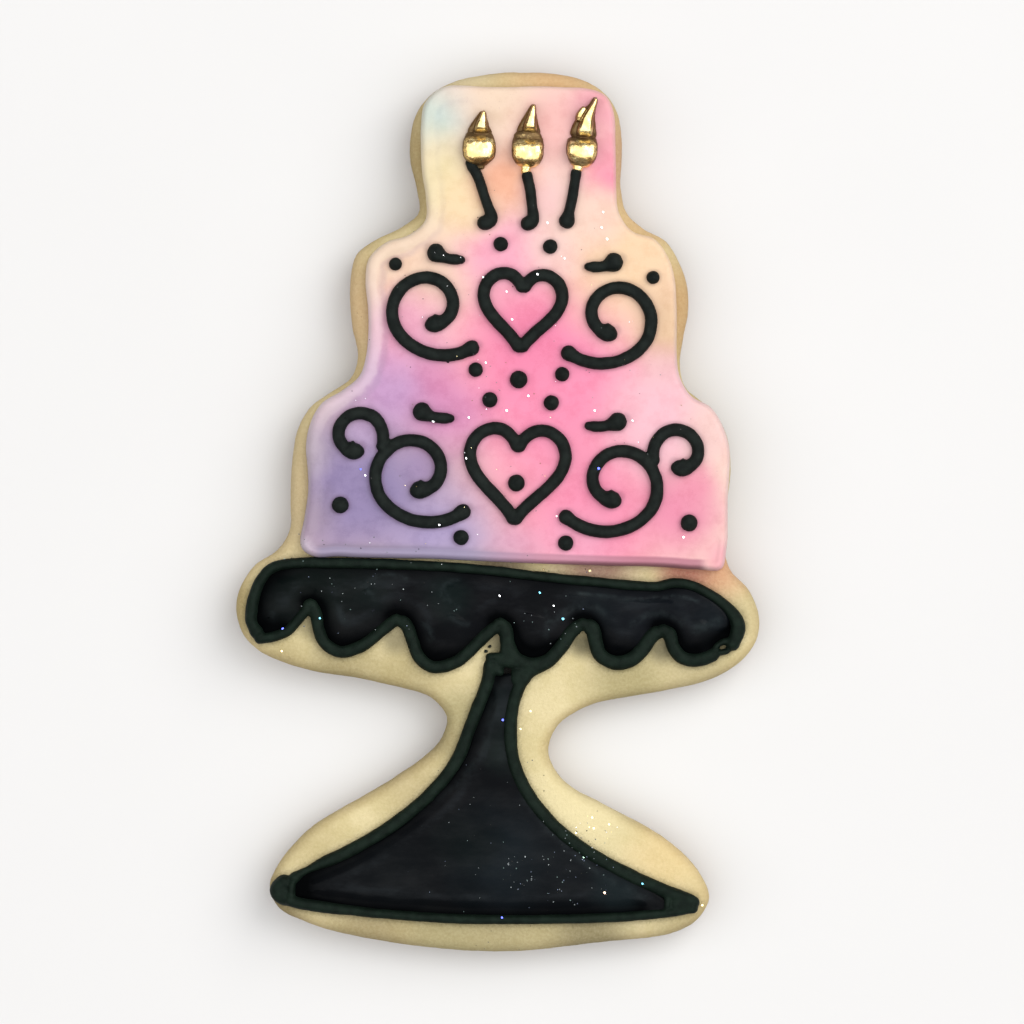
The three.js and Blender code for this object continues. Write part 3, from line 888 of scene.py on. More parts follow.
def chain_mesh(name, strokes):
    """Strokes as one mesh of edges, with the attributes that the piping tree reads."""
    mesh = bpy.data.meshes.new(name)
    places, edges = [], []
    for s in strokes:
        start = len(places)
        places += [(x, y, s["base"]) for x, y in s["points"]]
        edges += [(i, i + 1) for i in range(start, len(places) - 1)]
    mesh.from_pydata(places, edges, [])
    give(mesh, "half_width", np.concatenate([s["half"] for s in strokes]))
    give(mesh, "rise", np.concatenate([s["rise"] for s in strokes]))
    give(mesh, "base", np.concatenate([np.full(len(s["half"]), s["base"]) for s in strokes]))
    return mesh


def piped(name, strokes, seed, lumps, grain, voxel=0.12, melt=5, swell=0.08, fullness=1.0):
    """The fused beads of some strokes, as a mesh in millimetres."""
    holder = add_object(name, chain_mesh(name, strokes))
    add_nodes(holder, pipe_icing, waver=0.06, swell=swell, fullness=fullness, seed=seed)
    return settled(plain_mesh(holder), lumps, grain, voxel=voxel, melt=melt)


SINK = 0.08         # how far a bead reaches into what it lies on
LINE_HEIGHT = 1.2
LINE = dict(width=1.65, height=LINE_HEIGHT + SINK, base=ICING_TOP - SINK)
STAND_LINE = dict(width=1.5, height=1.5 + SINK, base=COOKIE_TOP - SINK)
PLATE_LINE = {**STAND_LINE, "width": 1.25}
BLOB = 2.5          # how wide a scroll or a leaf ends

plate_swells = [(-31.7, -12.5, 0.35, 4), (31, -15, 0.65, 2.6), (-20, -6.5, 0.15, 8)]
foot_swells = [(-25, -46.4, -0.75, 2.2)]
base_swells = [(-24.5, -51, 0.3, 4)]
# the short beads that close corners: at the peaks between the scallops, where the foot meets the
# plate, at both ends of the foot and at the plate's right end
joins = [
    *[([(x - 0.75, y - 0.75), (x, y), (x + 0.7, y - 0.8)], 1.4) for x, y in [
        (-24.45, -11.85), (-13.3, -13.8), (0.15, -14.25), (10.9, -14.3), (21.3, -15.15)]],
    ([(-1.75, -18.75), (0.5, -18.75)], 1.1),
    ([(0.75, -16.8), (0.85, -19)], 1.3),
    ([(-0.75, -19.2), (1, -19.15), (3, -19.5)], 1.9),
    ([(-0.35, -19.6), (-0.3, -21.2)], 1.9),
    ([(2.75, -19.8), (2.75, -21.2), (2.4, -22.8)], 2.5),
    ([(2.2, -23), (3.2, -21.5), (4.4, -20.4), (6, -19.6), (7.4, -18.6)], 1.7),
    ([(0.1, -20.1), (0.15, -21.25)], 1.15),
    ([(-26.95, -50.2), (-26.9, -49), (-26.85, -47.8)], 1.0),
    ([(-27.9, -48.5), (-27.9, -49.6)], 1.6),
    ([(25.7, -50.9), (24, -50.85), (22.1, -50.6)], 2.1),
    ([(21.9, -49.7), (21.8, -51.5)], 0.9),
    ([(27.9, -17.9), (28.35, -17.2), (29.4, -16.7), (30.4, -16.6)], 0.8),
    ([(28, -18.25), (29, -18.15), (30, -17.9)], 0.8),
]
# the foot's left end curls round over the rounded edge of the dough, so this bead starts further down
# and is a little lower on top
OVERHANG = 1.0
over_edge = {"width": 2.1, "height": STAND_LINE["height"] - 0.1 + OVERHANG,
             "base": STAND_LINE["base"] - OVERHANG}
curl = [(-26.9, -47.6), (-28.1, -48.15), (-28.75, -49.1), (-28.15, -49.85), (-26.6, -50.2)]
stand_strokes = [
    stroke(plate_edge, **PLATE_LINE, start=1.5, end=1.6, swells=plate_swells),
    *[stroke(route, **{**STAND_LINE, "width": width}, start=width + 0.15)
      for route, width in scallops],
    stroke(foot_left_route, **{**STAND_LINE, "width": 1.65}, start=2, end=1.8, swells=foot_swells),
    stroke(foot_base_route, **PLATE_LINE, start=1.5, end=1.5, swells=base_swells),
    stroke(foot_right_route, **{**STAND_LINE, "width": 1.7}, start=1.6, end=2),
    *[stroke(route, **{**STAND_LINE, "width": width}) for route, width in joins],
    stroke(curl, **over_edge),
]
candle_strokes = [stroke(route, **{**LINE, "width": 1.35}, start=top, end=foot, swells=heel)
                  for route, top, foot, heel in candles]
tier_strokes = {}
for name, row in rows.items():
    half = half_heart(row["heart"])
    tier_strokes[f"heart_{name}"] = [stroke(on_row(row, side, half), **LINE) for side in (1, -1)]
    for side, hand in ((-1, "left"), (1, "right")):
        tier_strokes[f"scroll_{name}_{hand}"] = [
            stroke(on_row(row, side, scroll(**shape)), **LINE, start=first, end=BLOB)
            for first, shape in row["scrolls"]]
        leaf = on_row(row, side, scroll(**row["leaf"]))
        tier_strokes[f"leaf_{name}_{hand}"] = [
            stroke(leaf, **{**LINE, "width": 1.4}, start=1.1, end=BLOB)]
print("strokes:", len(stand_strokes), "on the stand,", len(candle_strokes), "candles,",
      sum(map(len, tier_strokes.values())), "on the tiers")


# %% Dots
def dots_of(name, row):
    """Where each dot of a row is, how wide it is, and the solid that it stands for."""
    pairs = [(side, dot) for dot in row["dots"] for side in (-1, 1)]
    found = []
    for i, (side, (x, y, size)) in enumerate([*pairs, (1, row["middle"])]):
        place = on_row(row, side, [(x, y)])[0] + PLAN_SHIFT
        found.append((place, size, f"dot_{name}_{i + 1}"))
    return found


dots = {name: dots_of(name, row) for name, row in rows.items()}
print("dots:", {name: len(found) for name, found in dots.items()})


def wet_edges(points, strokes, round_spots=()):
    """Distance from each point to the side of the nearest bead."""
    sources = [s["points"] for s in strokes] + [np.array([place]) for place, _ in round_spots]
    halves = [s["half"] for s in strokes] + [np.array([size / 2]) for _, size in round_spots]
    return nearest(points, np.vstack(sources), np.concatenate(halves))


# %% [markdown]
# ## The dough
#
# Rolled dough keeps the cutter's outline. It puffs a little in the oven, so its top edge is well
# rounded, its side bulges and its face is slightly wavy and sandy. Its colour runs from pale cream in
# the middle to tan at the edge, partly browning and partly painted shade, and brown below, where it
# lay on the hot tray.

# %% Shape of the dough
SHOULDER = 1.7
SHOULDER_STEPS = [0.03, 0.1, 0.22, 0.38, 0.58, 0.85, 1.15, 1.45, 1.75]
DOUGH_GRID = 0.34


def shoulder_height(depth):
    """Height of the dough's top at a distance from its edge."""
    run = np.clip(depth / SHOULDER, 0, 1)
    return COOKIE_TOP - SHOULDER * (1 - np.sqrt(1 - (1 - run) ** 2))


def dough_top(_, depth):
    return shoulder_height(depth)


# the side as (inset, height), from below the shoulder down to the tray
dough_side = [
    (-0.02, COOKIE_TOP - SHOULDER - 0.6), (-0.05, COOKIE_TOP / 2), (0.02, 2.0),
    (0.14, 1.1), (0.34, 0.45), (0.6, 0.12), (0.85, 0.0),
]
dough_mesh = slab("dough", dough_outline, dough_top, dough_side, SHOULDER_STEPS, DOUGH_GRID)
dough_mesh = settled(dough_mesh, lumps=(3.5, 0.10), grain=(0.5, 0.05), seed=3.0)
give(dough_mesh, "line_mm", wet_edges(places_of(dough_mesh), stand_strokes))
print("dough:", len(dough_mesh.vertices), "points")


# %% [markdown]
# The dough's finish layers four things over its cream: browning and painted shade that follow the
# distance from the edge, tints and painted light and shade that differ from place to place, sandy
# grain, and darkening beside the black icing, partly stain and partly painted shade. The tints,
# light and shade are written as sprays: a middle, a reach and a colour that fades out from the middle.

# %% Sprays of colour
SOLID_SHARE = 0.15  # the share of a spray's reach where it has its full strength


def sprayed(finish, start, sprays, ragged=1.6, size=9.0):
    """A colour with soft round sprays laid over it one after another, their edges blown about.

    A spray is a place on the plan, a reach, a strength and a colour code. `ragged` is how far the
    edges are blown, and `size` how large the gusts are, in millimetres.
    """
    noise = finish.node("ShaderNodeTexNoise", None, {
        "Vector": finish.place, "Scale": 1 / size, "Detail": 3.0, "Roughness": 0.55}).outputs["Color"]
    centred = finish.vector("SUBTRACT", noise, (0.5, 0.5, 0.5))
    blown = finish.vector("ADD", finish.place, finish.vector("SCALE", centred, Scale=2 * ragged))
    level = finish.vector("MULTIPLY", blown, (1, 1, 0))
    colour = start
    for (x, y), reach, strength, code in sprays:
        centre = (x + PLAN_SHIFT[0], y + PLAN_SHIFT[1], 0)
        away = finish.node("ShaderNodeVectorMath", {"operation": "DISTANCE"}, {0: level, 1: centre})
        gone = Value(finish, away.outputs["Value"]).smooth(SOLID_SHARE * reach, reach)
        colour = finish.coat(colour, (1 - gone) * strength, code)
    return colour


# %% Finish of the dough
dough_tints_light_and_shade = [
    # the bands beside the tiers: tan on the left and golden at the top and right, partly their baked
    # colour and partly painted light and shade
    ((-27, 3), 14, 0.95, "D8C296"), ((-20, 26), 12, 0.95, "DCBC8E"), ((-12, 45), 11, 0.95, "B9A372"),
    ((-2, 59), 13, 0.95, "DFC896"), ((-4, 56.8), 5, 0.8, "EAD9AE"), ((8, 58), 10, 0.9, "E6B986"),
    ((17, 46), 10, 0.9, "D3A884"), ((19, 38), 6, 0.8, "EAC28E"), ((24, 26), 11, 0.9, "D2A976"),
    ((-33, -13), 6, 0.7, "A8955F"),
    # a breath of the pink airbrush at the plate's right, and painted shade where dough shows above its
    # line, below the icing
    ((33, -12.5), 5, 0.7, "D2C08E"), ((28, -7), 7, 0.9, "DEA47E"), ((24, -8), 5.5, 0.9, "C07466"),
    ((13, -7), 8, 0.8, "986666"), ((0, -6.8), 6, 0.75, "6A5248"),
    # shade below the plate
    ((27, -22), 7, 0.75, "C0B284"), ((17, -22.5), 9, 0.85, "B2A676"), ((-21, -21), 9, 0.8, "A29466"),
    ((-28.5, -18.5), 4, 0.6, "B5A474"), ((-12, -22), 8, 0.7, "AFA070"), ((-7, -30), 5, 0.75, "A2956A"),
    ((-5, -26), 5, 0.7, "A89E70"), ((-12, -35), 7, 0.5, "BAA87A"), ((-24, -44), 7, 0.5, "C2B07C"),
    # the warm, lit face to the right of the foot
    ((11, -38), 10, 0.8, "FFF0BC"), ((22, -45), 8, 0.6, "FADB9E"), ((26.5, -50.5), 4, 0.6, "D6BC82"),
    # shade below the foot
    ((0, -57), 12, 0.85, "ACA074"), ((12, -56), 9, 0.9, "8A805C"), ((24, -55), 7, 0.7, "B0A070"),
    ((-8, -55), 8, 0.8, "ABA072"), ((-17, -56), 10, 0.85, "A09066"), ((-29, -52), 7, 0.9, "8A7A50"),
]
# deep shade in the peaks between the scallops, and in the small hole where three lines meet
peaks = [(route[-1][0], route[-1][1] - 2.6) for route, _ in scallops]
shade_sprays = [
    *[(peak, 2.8, strength, "504E3C") for peak, strength in zip(peaks, (0.5, 0.55, 0.75, 0.8, 0.7))],
    ((1, -20.6), 3, 1.0, "100F0B"),
]


def dough_finish():
    dough = Finish("baked_dough", Specular_IOR_Level=0.25)
    grain = dough.noise(2.6, 4.0, 0.7)
    cloud = dough.noise(0.22, 3.0)
    cream = dough.coat(linear("E6D6A0"), cloud.smooth(0.35, 0.65), "F2E2B0")
    edge = dough.attribute("edge_mm") + (cloud - 0.5) * 1.2
    # browning by the edge: partly real baking and partly painted shade on the rounded shoulder
    browned_and_shaded_edge = dough.coat(cream, (1 - edge.smooth(0.0, 1.6)) * 0.35, "BE9F64")
    tinted_with_light_and_shade = sprayed(dough, browned_and_shaded_edge, dough_tints_light_and_shade)
    dark_sand, pale_sand = dough.coat(tinted_with_light_and_shade, 0.10, "8C7440"), dough.coat(tinted_with_light_and_shade, 0.14, "FFF3CC")
    sandy = dough.mix(grain.smooth(0.3, 0.75), dark_sand, pale_sand)
    # the dough is darker beside a line, partly a stain of the black icing and partly painted shade, and
    # black icing leaves specks a little further out
    beside = dough.attribute("line_mm")
    stain_and_shade = 1 - (beside + (grain - 0.5) * 0.8).smooth(-0.2, 0.7)
    specks = dough.noise(4.5, 1.0).smooth(0.58, 0.7) * (1 - beside.smooth(0.1, 1.4))
    darkened_beside_line = dough.coat(dough.coat(sandy, stain_and_shade * 0.3, "5E5A40"), specks * 0.2, "3C3D30")
    shaded = sprayed(dough, darkened_beside_line, shade_sprays, ragged=0.3)
    below = 1 - dough.along("Z").smooth(0.4, 2.6)
    browned = dough.coat(shaded, below * 0.8, "B98A4E")
    dough.bump(grain + dough.noise(7.0, 2.0) * 0.5, 0.10, 0.9)
    return dough.finish(Base_Color=browned, Roughness=0.72 + grain * 0.25)


place_piece("sugar_dough", dough_mesh, dough_finish(), ["cookie"])


# %% [markdown]
# ## The flooded icing
#
# The decorator first pipes a dam round the tiers and then floods the inside with thinned icing. The
# dam stays as a low rim, strongest down the left side and along the bottom, with a shallow furrow
# inside it. Where the icing reaches the cookie's edge it sags over the shoulder of the dough.

# %% Shape of the icing
RIM_STEPS = [0.03, 0.09, 0.18, 0.3, 0.46, 0.66, 0.9, 1.15, 1.45, 1.8, 2.15]
ICING_GRID = 0.36
EDGE_ROUND = 0.8
EDGE_POWER = 2.4    # how square the icing's rounded edge is
EDGE_HEIGHT = 0.75  # height of the icing's upright edge above its foot
RIM_HEIGHT = box_mm("cake_icing")[1].z - ICING_TOP
RIM_AT, RIM_WIDTH, RIM_FULL, RIM_LEAST = 1.1, 0.6, 0.75, 0.06
FURROW_AT, FURROW_WIDTH, FURROW_DEPTH = 2.1, 0.4, 0.16
BOTTOM_NARROWER = 0.55
LEAST_INSET = 0.25  # the icing hangs no lower than the dough's shoulder is this far in
FOOT_SINK = 0.1

# the icing's foot follows the dough below it, and goes a little into it
icing_inset = nearest(icing_outline, evenly(dough_outline, 0.1, True))
icing_inset *= np.where(inside(icing_outline, dough_outline), 1, -1)
icing_foot = shoulder_height(np.maximum(icing_inset, LEAST_INSET)) - FOOT_SINK
foot_tree = search_tree(icing_outline)


def at_bottom(places):
    """1 along the bottom edge of the bottom tier, where the dam is narrower."""
    return 1 - smoothstep(places[:, 1], -3.9, -2.9)


def rim_share(places):
    """How strongly the dam stands out: fully at the left and bottom, hardly at the right and top."""
    x, y = places.T
    left = (1 - smoothstep(x, -14, 2)) * (1 - 0.6 * smoothstep(y, 34, 44))
    bottom = 0.7 * (1 - smoothstep(y, -4.5, -1.5))
    return RIM_LEAST + (1 - RIM_LEAST) * np.maximum(left, bottom)


def rim_paleness(places):
    """How much paler the dam is than the icing inside it: most at the upper left."""
    x, y = places.T
    return rim_share(places) * (0.15 + 0.85 * smoothstep(y, 8, 15)) * (1 - 0.8 * smoothstep(x, 2, 20))


def icing_top_height(places, depth):
    """Height of the icing's top: the edge, then the dam, then the furrow, then the level middle."""
    foot = np.array([icing_foot[foot_tree.find((x, y, 0))[1]] for x, y in places])
    across = depth * (1 + BOTTOM_NARROWER * at_bottom(places))
    rim = bell((across - RIM_AT) / RIM_WIDTH) * RIM_HEIGHT * RIM_FULL
    furrow = bell((across - FURROW_AT) / FURROW_WIDTH) * FURROW_DEPTH
    level = ICING_TOP + rim_share(places) * (rim - furrow)
    edge = foot + EDGE_HEIGHT
    run = np.clip(depth / EDGE_ROUND, 0, 1)
    return edge + (level - edge) * (1 - (1 - run) ** EDGE_POWER) ** (1 / EDGE_POWER)


icing_side = [(-0.03, icing_foot + 0.45), (0.02, icing_foot + 0.2), (0.12, icing_foot)]
icing_mesh = slab("icing", icing_outline, icing_top_height, icing_side, RIM_STEPS, ICING_GRID)
icing_mesh = settled(icing_mesh, lumps=(7.0, 0.07), grain=(1.3, 0.012), seed=8.0)
icing_xy = places_of(icing_mesh)
icing_x = icing_xy[:, 0]
icing_depth = np.empty(len(icing_xy), np.float32)
icing_mesh.attributes["edge_mm"].data.foreach_get("value", icing_depth)
# the bottom dam's colour stops short of both corners
bottom = at_bottom(icing_xy) * smoothstep(icing_x, -24.5, -22.5) * (1 - smoothstep(icing_x, 26, 27.5))
flat_strokes = [line for strokes in tier_strokes.values() for line in strokes] + candle_strokes
spots = [(place, size) for found in dots.values() for place, size, _ in found]
give(icing_mesh, "dam", rim_paleness(icing_xy))
give(icing_mesh, "bottom_dam", bottom * (1 - smoothstep(icing_depth, 1.15, 1.45)))
give(icing_mesh, "bottom_crease", bottom * bell((icing_depth - 1.5) / 0.25))
give(icing_mesh, "line_mm", wet_edges(icing_xy, flat_strokes, spots))
print("icing:", len(icing_mesh.vertices), "points")


# %% [markdown]
# The colour is airbrushed: pale blue and cream at the top left, peach and pink across the middle,
# and lilac at the bottom left. Each spray is soft and they overlap. The brush came from above, so
# the rim and the sides stay paler, and it spat fine droplets where the colour is strongest.

# %% Finish of the icing
icing_sprays = [
    # the broad passes: pink over the middle and the right, lilac at the bottom left
    ((6, 17), 25, 1.0, "FF9ABC"), ((12, -1), 19, 0.9, "FC92B6"), ((-18, 3), 20, 1.0, "9A8AB4"),
    ((-14, 17), 11, 0.9, "CC9ECE"), ((-6, 13), 8, 0.7, "DA8EC0"), ((-7, -4), 11, 0.85, "AC9ECC"),
    # middle tier: peach to the left, a strong pink heart, cream to the right
    ((-12, 32), 12, 0.95, "FCDAC0"), ((-12, 24), 8, 0.8, "F4A8C8"), ((3, 23), 10, 0.6, "F884AC"),
    ((18, 33), 15, 1.0, "FFDCB6"), ((0.5, 33), 8, 0.9, "FFB0C8"), ((7, 34), 6, 0.7, "FFDCD4"),
    ((23, 24), 8, 0.9, "EECBA4"), ((22, 18), 5, 0.7, "EFC4C0"),
    # top tier: ice blue, cream, peach and pink from left to right
    ((0, 53), 9, 0.9, "FAE0C6"), ((-10, 51), 9, 1.0, "D6E4DC"), ((-8, 43), 9, 0.95, "F6E6B8"),
    ((-4, 40), 6, 0.8, "FFE2B6"), ((1, 43), 6.5, 0.95, "FBBC9C"), ((7, 50), 8, 0.8, "FEC2BE"),
    ((6, 41), 4.5, 0.7, "FCCCCC"), ((14, 53), 7, 0.8, "FAA2B8"), ((14.8, 44.8), 6.5, 1.0, "FC98B2"),
    ((12.5, 38.5), 6, 0.85, "FFDCCC"),
    # bottom tier: pale to the right shoulder, pink again at the corner, pale down the left edge
    ((21, 12), 11, 0.9, "FFCAD6"), ((28.5, 12), 7, 0.9, "FCD6D0"), ((24, 0), 8, 0.7, "F084AC"),
    ((-26, 8), 6, 0.7, "BEB2BA"), ((-25, 0), 6, 0.6, "A08E9E"), ((2, -5), 6, 0.6, "DCA2C2"),
    ((10, -4.5), 7, 0.55, "FCB6D0"), ((28.8, -6), 3.5, 0.8, "FAB0BC"),
    ((-25.5, -4.8), 2.5, 0.7, "CDC2D4"),
    ((-18, 10), 5, 0.5, "C8AED2"), ((-10, 6), 4, 0.5, "9C84B4"), ((-8, 18), 5, 0.5, "DC80B0"),
    ((26, 4), 4, 0.5, "F48CAC"), ((14.5, 54), 4, 0.6, "FFBCC0"), ((14, 46.5), 4, 0.6, "FEB4C0"),
]


def icing_finish():
    icing = Finish("airbrushed_icing", Specular_IOR_Level=0.2)
    painted = sprayed(icing, linear("FEDACF"), icing_sprays)
    # the spray is denser here and there, in soft blotches and in fine grains
    blotch = icing.noise(0.5, 4.0, 0.6).smooth(0.4, 0.68)
    grain = icing.noise(7.0, 2.0)
    denser = icing.mix(1.0, painted, painted, "MULTIPLY")
    mottled = icing.mix(blotch * 0.18 + (grain - 0.5) * 0.25, painted, denser)
    # painted shade: grey in the furrow inside the dam
    edge = icing.attribute("edge_mm")
    wisp = icing.noise(0.35, 3.0)
    dam = icing.attribute("dam")
    inner = edge + (wisp - 0.5) * 1.4
    furrow = inner.smooth(1.6, 2.1) * (1 - inner.smooth(2.2, 3.0))
    sunk_shade = icing.coat(mottled, furrow * dam * 0.25, "A396A8")
    # along the bottom the dam goes from lilac through pink to rose, darkened as painted shade, and the
    # crease inside it and the tuck under its lip get more painted shade
    across = icing.along("X")
    bottom_dam = icing.attribute("bottom_dam")
    rose = icing.coat(linear("CB92A6"), across.smooth(8, 20), "BC7C8E")
    banded = icing.mix(bottom_dam * 0.85, sunk_shade, icing.mix(across.smooth(-5, 8), linear("A39AB6"), rose))
    # painted shade in the crease inside the bottom dam
    crease = icing.attribute("bottom_crease") * (1 - across.smooth(-12, 8))
    bottom_crease_shaded = icing.coat(banded, crease * 0.55, "6E6680")
    # painted shade under the lip of the bottom edge, towards the right
    lip_shade = bottom_dam * (1 - edge.smooth(0.2, 0.7)) * across.smooth(0, 14)
    lip_shaded = icing.coat(bottom_crease_shaded, lip_shade * 0.6, "855E62")
    # elsewhere the dam and the lip of the edge stay pale
    cream = icing.coat(linear("EDE0E4"), icing.along("Y").smooth(24, 34), "F2E4CC")
    pale = (1 - inner.smooth(1.5, 2.2)) * dam * 0.42 + (1 - edge.smooth(0.1, 0.6)) * 0.22
    rimmed = icing.mix(pale * (1 - bottom_dam), lip_shaded, cream)
    # droplets that the brush spat, and a breath of shade beside the piped lines
    spit = icing.noise(5.0, 1.0).smooth(0.70, 0.78) * icing.noise(0.12, 2.0).smooth(0.45, 0.6)
    speckled = icing.coat(rimmed, spit * 0.35, "9A5C90")
    shade = 1 - icing.attribute("line_mm").smooth(-0.1, 0.55)
    shaded = icing.coat(speckled, shade * 0.22, "6B3E56")
    icing.bump(icing.noise(1.2, 3.0) + icing.noise(6.0, 2.0) * 0.3, 0.03, 0.6)
    return icing.finish(Base_Color=shaded, Roughness=0.42 + wisp * 0.2)


place_piece("flooded_icing", icing_mesh, icing_finish(), ["cake_icing"])


# %% [markdown]
# ## The black stand
#
# The stand is a line of stiff black icing piped on the bare dough, with thinned black icing run
# inside it. The thinned icing dries smooth and satin, swells in the middle and draws down to a
# crease against the line, which is darkened with painted shade. The stiff line dries matt.

# %% Finishes of the black icing
def black_icing(name, dark, light):
    """A matt black between a dark and a light tone, mottled and grainy."""
    matt = Finish(name, Specular_IOR_Level=0.08)
    tone = matt.noise(0.8, 3.0)
    grain = matt.noise(5.0, 3.0, 0.65)
    colour = matt.coat(linear(dark), tone.smooth(0.3, 0.7) * 0.6 + grain * 0.4, light)
    matt.bump(grain, 0.05, 0.8)
    return matt.finish(Base_Color=colour, Roughness=0.5 + grain * 0.25)


piping_finished = black_icing("matt_black_icing", "111615", "232A27")
stand_finished = black_icing("matt_stand_icing", "0B1611", "1B2921")

lowest_places = [min(route, key=lambda place: place[1]) for route, _ in scallops[1:]]
run_in_tints_sheen_and_shade = [
    # greenish at the plate's left, bluish at its right and in the foot, with paler patches on the plate
    # and down the foot's middle and beside its lines that are painted sheen
    ((-24, -10), 11, 0.8, "0B1412"), ((-2, -10), 8, 0.5, "0A0B10"), ((20, -13), 13, 0.8, "0F1319"),
    ((-16.5, -10.5), 4, 0.5, "141E1D"), ((-6.5, -11), 4.5, 0.6, "131F1E"),
    ((12, -12.4), 5, 0.7, "161C20"),
    ((27.5, -14), 4, 0.5, "141C22"), ((0, -45), 10, 0.8, "171F24"), ((10, -46), 8, 0.6, "13181C"),
    ((0.4, -25), 6, 0.8, "161D1E"), ((1, -31), 4, 0.6, "1A2422"), ((-14, -46), 9, 0.4, "0E1316"),
    ((-4, -43), 6, 0.6, "070E0D"), ((-3.5, -49.5), 4, 0.6, "080D10"), ((15.5, -49.5), 5, 0.7, "1D272A"),
    # deep shade in the round bottom of each scallop
    *[((x + 0.7, y + 2.2), 3.8, 0.65, "060709") for x, y in lowest_places],
]


def run_in_finish():
    satin = Finish("satin_black_icing", Specular_IOR_Level=0.0, Coat_Roughness=0.18)
    film = satin.noise(0.28, 4.0, 0.6, stretch=(0.6, 1.3, 1))
    dust = satin.noise(6.0, 2.0)
    tinted_with_light_and_shade = sprayed(satin, linear("0C0E11"), run_in_tints_sheen_and_shade, ragged=2.0, size=5.0)
    # painted highlight: a paler band on the shoulder, where the icing starts to fall towards the line
    crowd = satin.attribute("crowd") + (film - 0.5) * 0.16
    shoulder = crowd.smooth(0.03, 0.1) * (1 - crowd.smooth(0.12, 0.3)) * film.smooth(0.4, 0.7)
    shoulder_sheened = satin.coat(tinted_with_light_and_shade, shoulder * 0.28, "252C31")
    streaks = satin.noise(0.8, 3.0, 0.6).smooth(0.3, 0.64)
    # painted highlight along the drag marks
    highlighted = satin.coat(shoulder_sheened, satin.attribute("drag") * streaks, "30393B")
    # painted shade: the crease beside the line goes near black, mostly on its shady side
    sunk_shade = crowd.smooth(0.1, 0.95)
    deep = satin.coat(highlighted, sunk_shade * 0.95, "040506")
    gloss = (0.05 + film.smooth(0.3, 0.8) * 0.12) * (1 - sunk_shade * 0.9)
    satin.bump(film + dust * 0.05, 0.14, 0.5)
    return satin.finish(Base_Color=deep, Roughness=0.5 + dust * 0.2, Coat_Weight=gloss)


run_in_finished = run_in_finish()

# %% [markdown]
# The thinned icing was pushed about with a needle while its skin was drying. That left shallow dents
# in the plate, each a short trough with a soft lip along one side, which catch the light as arcs. It
# also left drag marks, which are painted a little paler than the rest as painted highlights.

# %% Shape of the run-in icing
FLOOD_DEPTH = box_mm("plate_flood")[1].z - COOKIE_TOP
FLOOD_STEPS = [0.5, 0.75, 1.0, 1.3, 1.65, 2.05, 2.5, 3.0]
FLOOD_GRID = 0.3

# the middle of each dent, its direction in degrees, its half length and half width
dents = [
    ((-17, -9.9), 15, 2.0, 0.8), ((-24, -9.3), 5, 1.6, 0.5), ((-6.9, -10), 50, 1.8, 0.8),
    ((-5.6, -13.4), -15, 1.9, 0.7), ((-9.4, -15), 112, 1.1, 0.5), ((-19.8, -13.4), 100, 1.4, 0.6),
    ((11.5, -10.9), -7, 3.4, 0.4), ((19.5, -11.5), -1, 4.6, 0.4), ((4, -13.1), -10, 2.2, 0.4),
    ((27, -14.4), -35, 1.6, 0.7), ((18.6, -14), 25, 1.8, 0.7), ((8.6, -13.4), 40, 1.6, 0.6),
]
DENT_DEPTH = 0.19
DENT_BEND = 0.7  # how much further over a dent's ends lie than its middle


def dented(places):
    """How much lower each place is for the dents, and higher on the lips beside them."""
    drop = np.zeros(len(places))
    for middle, direction, half_length, half_width in dents:
        turn = math.radians(direction)
        off = places - PLAN_SHIFT - middle
        along = (off[:, 0] * math.cos(turn) + off[:, 1] * math.sin(turn)) / half_length
        across = (off[:, 1] * math.cos(turn) - off[:, 0] * math.sin(turn)) / half_width
        across += DENT_BEND * along ** 2
        # the last two terms make a trough on one side of the middle and a lip on the other
        drop += DENT_DEPTH * bell(along) * across * np.exp(0.5 - across ** 2)
    return drop


# painted highlights where the needle dragged the drying skin: a route, how wide the mark is and how
# clearly it shows
highlight_streaks = [
    ([(-12, -8.5), (-14.5, -8), (-16.2, -8.5), (-17.3, -9.4), (-17.5, -10.1)], 0.3, 0.5),
    ([(-17.6, -9.7), (-16.6, -10.5), (-16, -11.4)], 0.35, 0.4),
    ([(-5.4, -8.8), (-6.9, -9.3), (-7.5, -10.3), (-7.2, -11.2)], 0.3, 0.4),
    ([(-6.9, -10.2), (-6.2, -11.6), (-5.2, -12.3)], 0.3, 0.35),
    ([(-6.3, -13.5), (-5.2, -14.3), (-4, -14.5)], 0.35, 0.3),
    ([(-9.9, -14.1), (-9, -15.3), (-8.9, -16.4)], 0.4, 0.4),
    ([(-20.6, -12.6), (-20.1, -14)], 0.6, 0.25),
    ([(-29.4, -13), (-29.1, -15.2)], 0.4, 0.25),
    ([(10.4, -10.5), (14.3, -10.95), (17.5, -11.3), (20.6, -11), (23.8, -10.95), (25.6, -11.5)],
     0.2, 0.7),
    ([(6.4, -14), (8.2, -13.4), (9.3, -12.7), (10.7, -12.2), (12.5, -12.3), (13.8, -13.2)], 0.4, 0.5),
    ([(17.3, -14.4), (18.8, -13.6), (20.6, -13.2), (22.4, -13.5), (23.8, -14.4)], 0.4, 0.4),
    ([(25.4, -15.1), (26.7, -14.8), (28.4, -14.1)], 0.6, 0.5),
    ([(6, -12.8), (6.2, -16)], 0.4, 0.25),
    # two long ones down the sides of the foot
    ([(-0.4, -22.6), (-1.2, -26.5), (-2.2, -30.8), (-3.9, -33.5), (-7.8, -37), (-11.7, -39.3)],
     0.5, 0.25),
    ([(3.1, -36.6), (6.2, -40.5), (10, -44.4), (14, -47.5), (18.7, -49.9)], 0.5, 0.3),
]


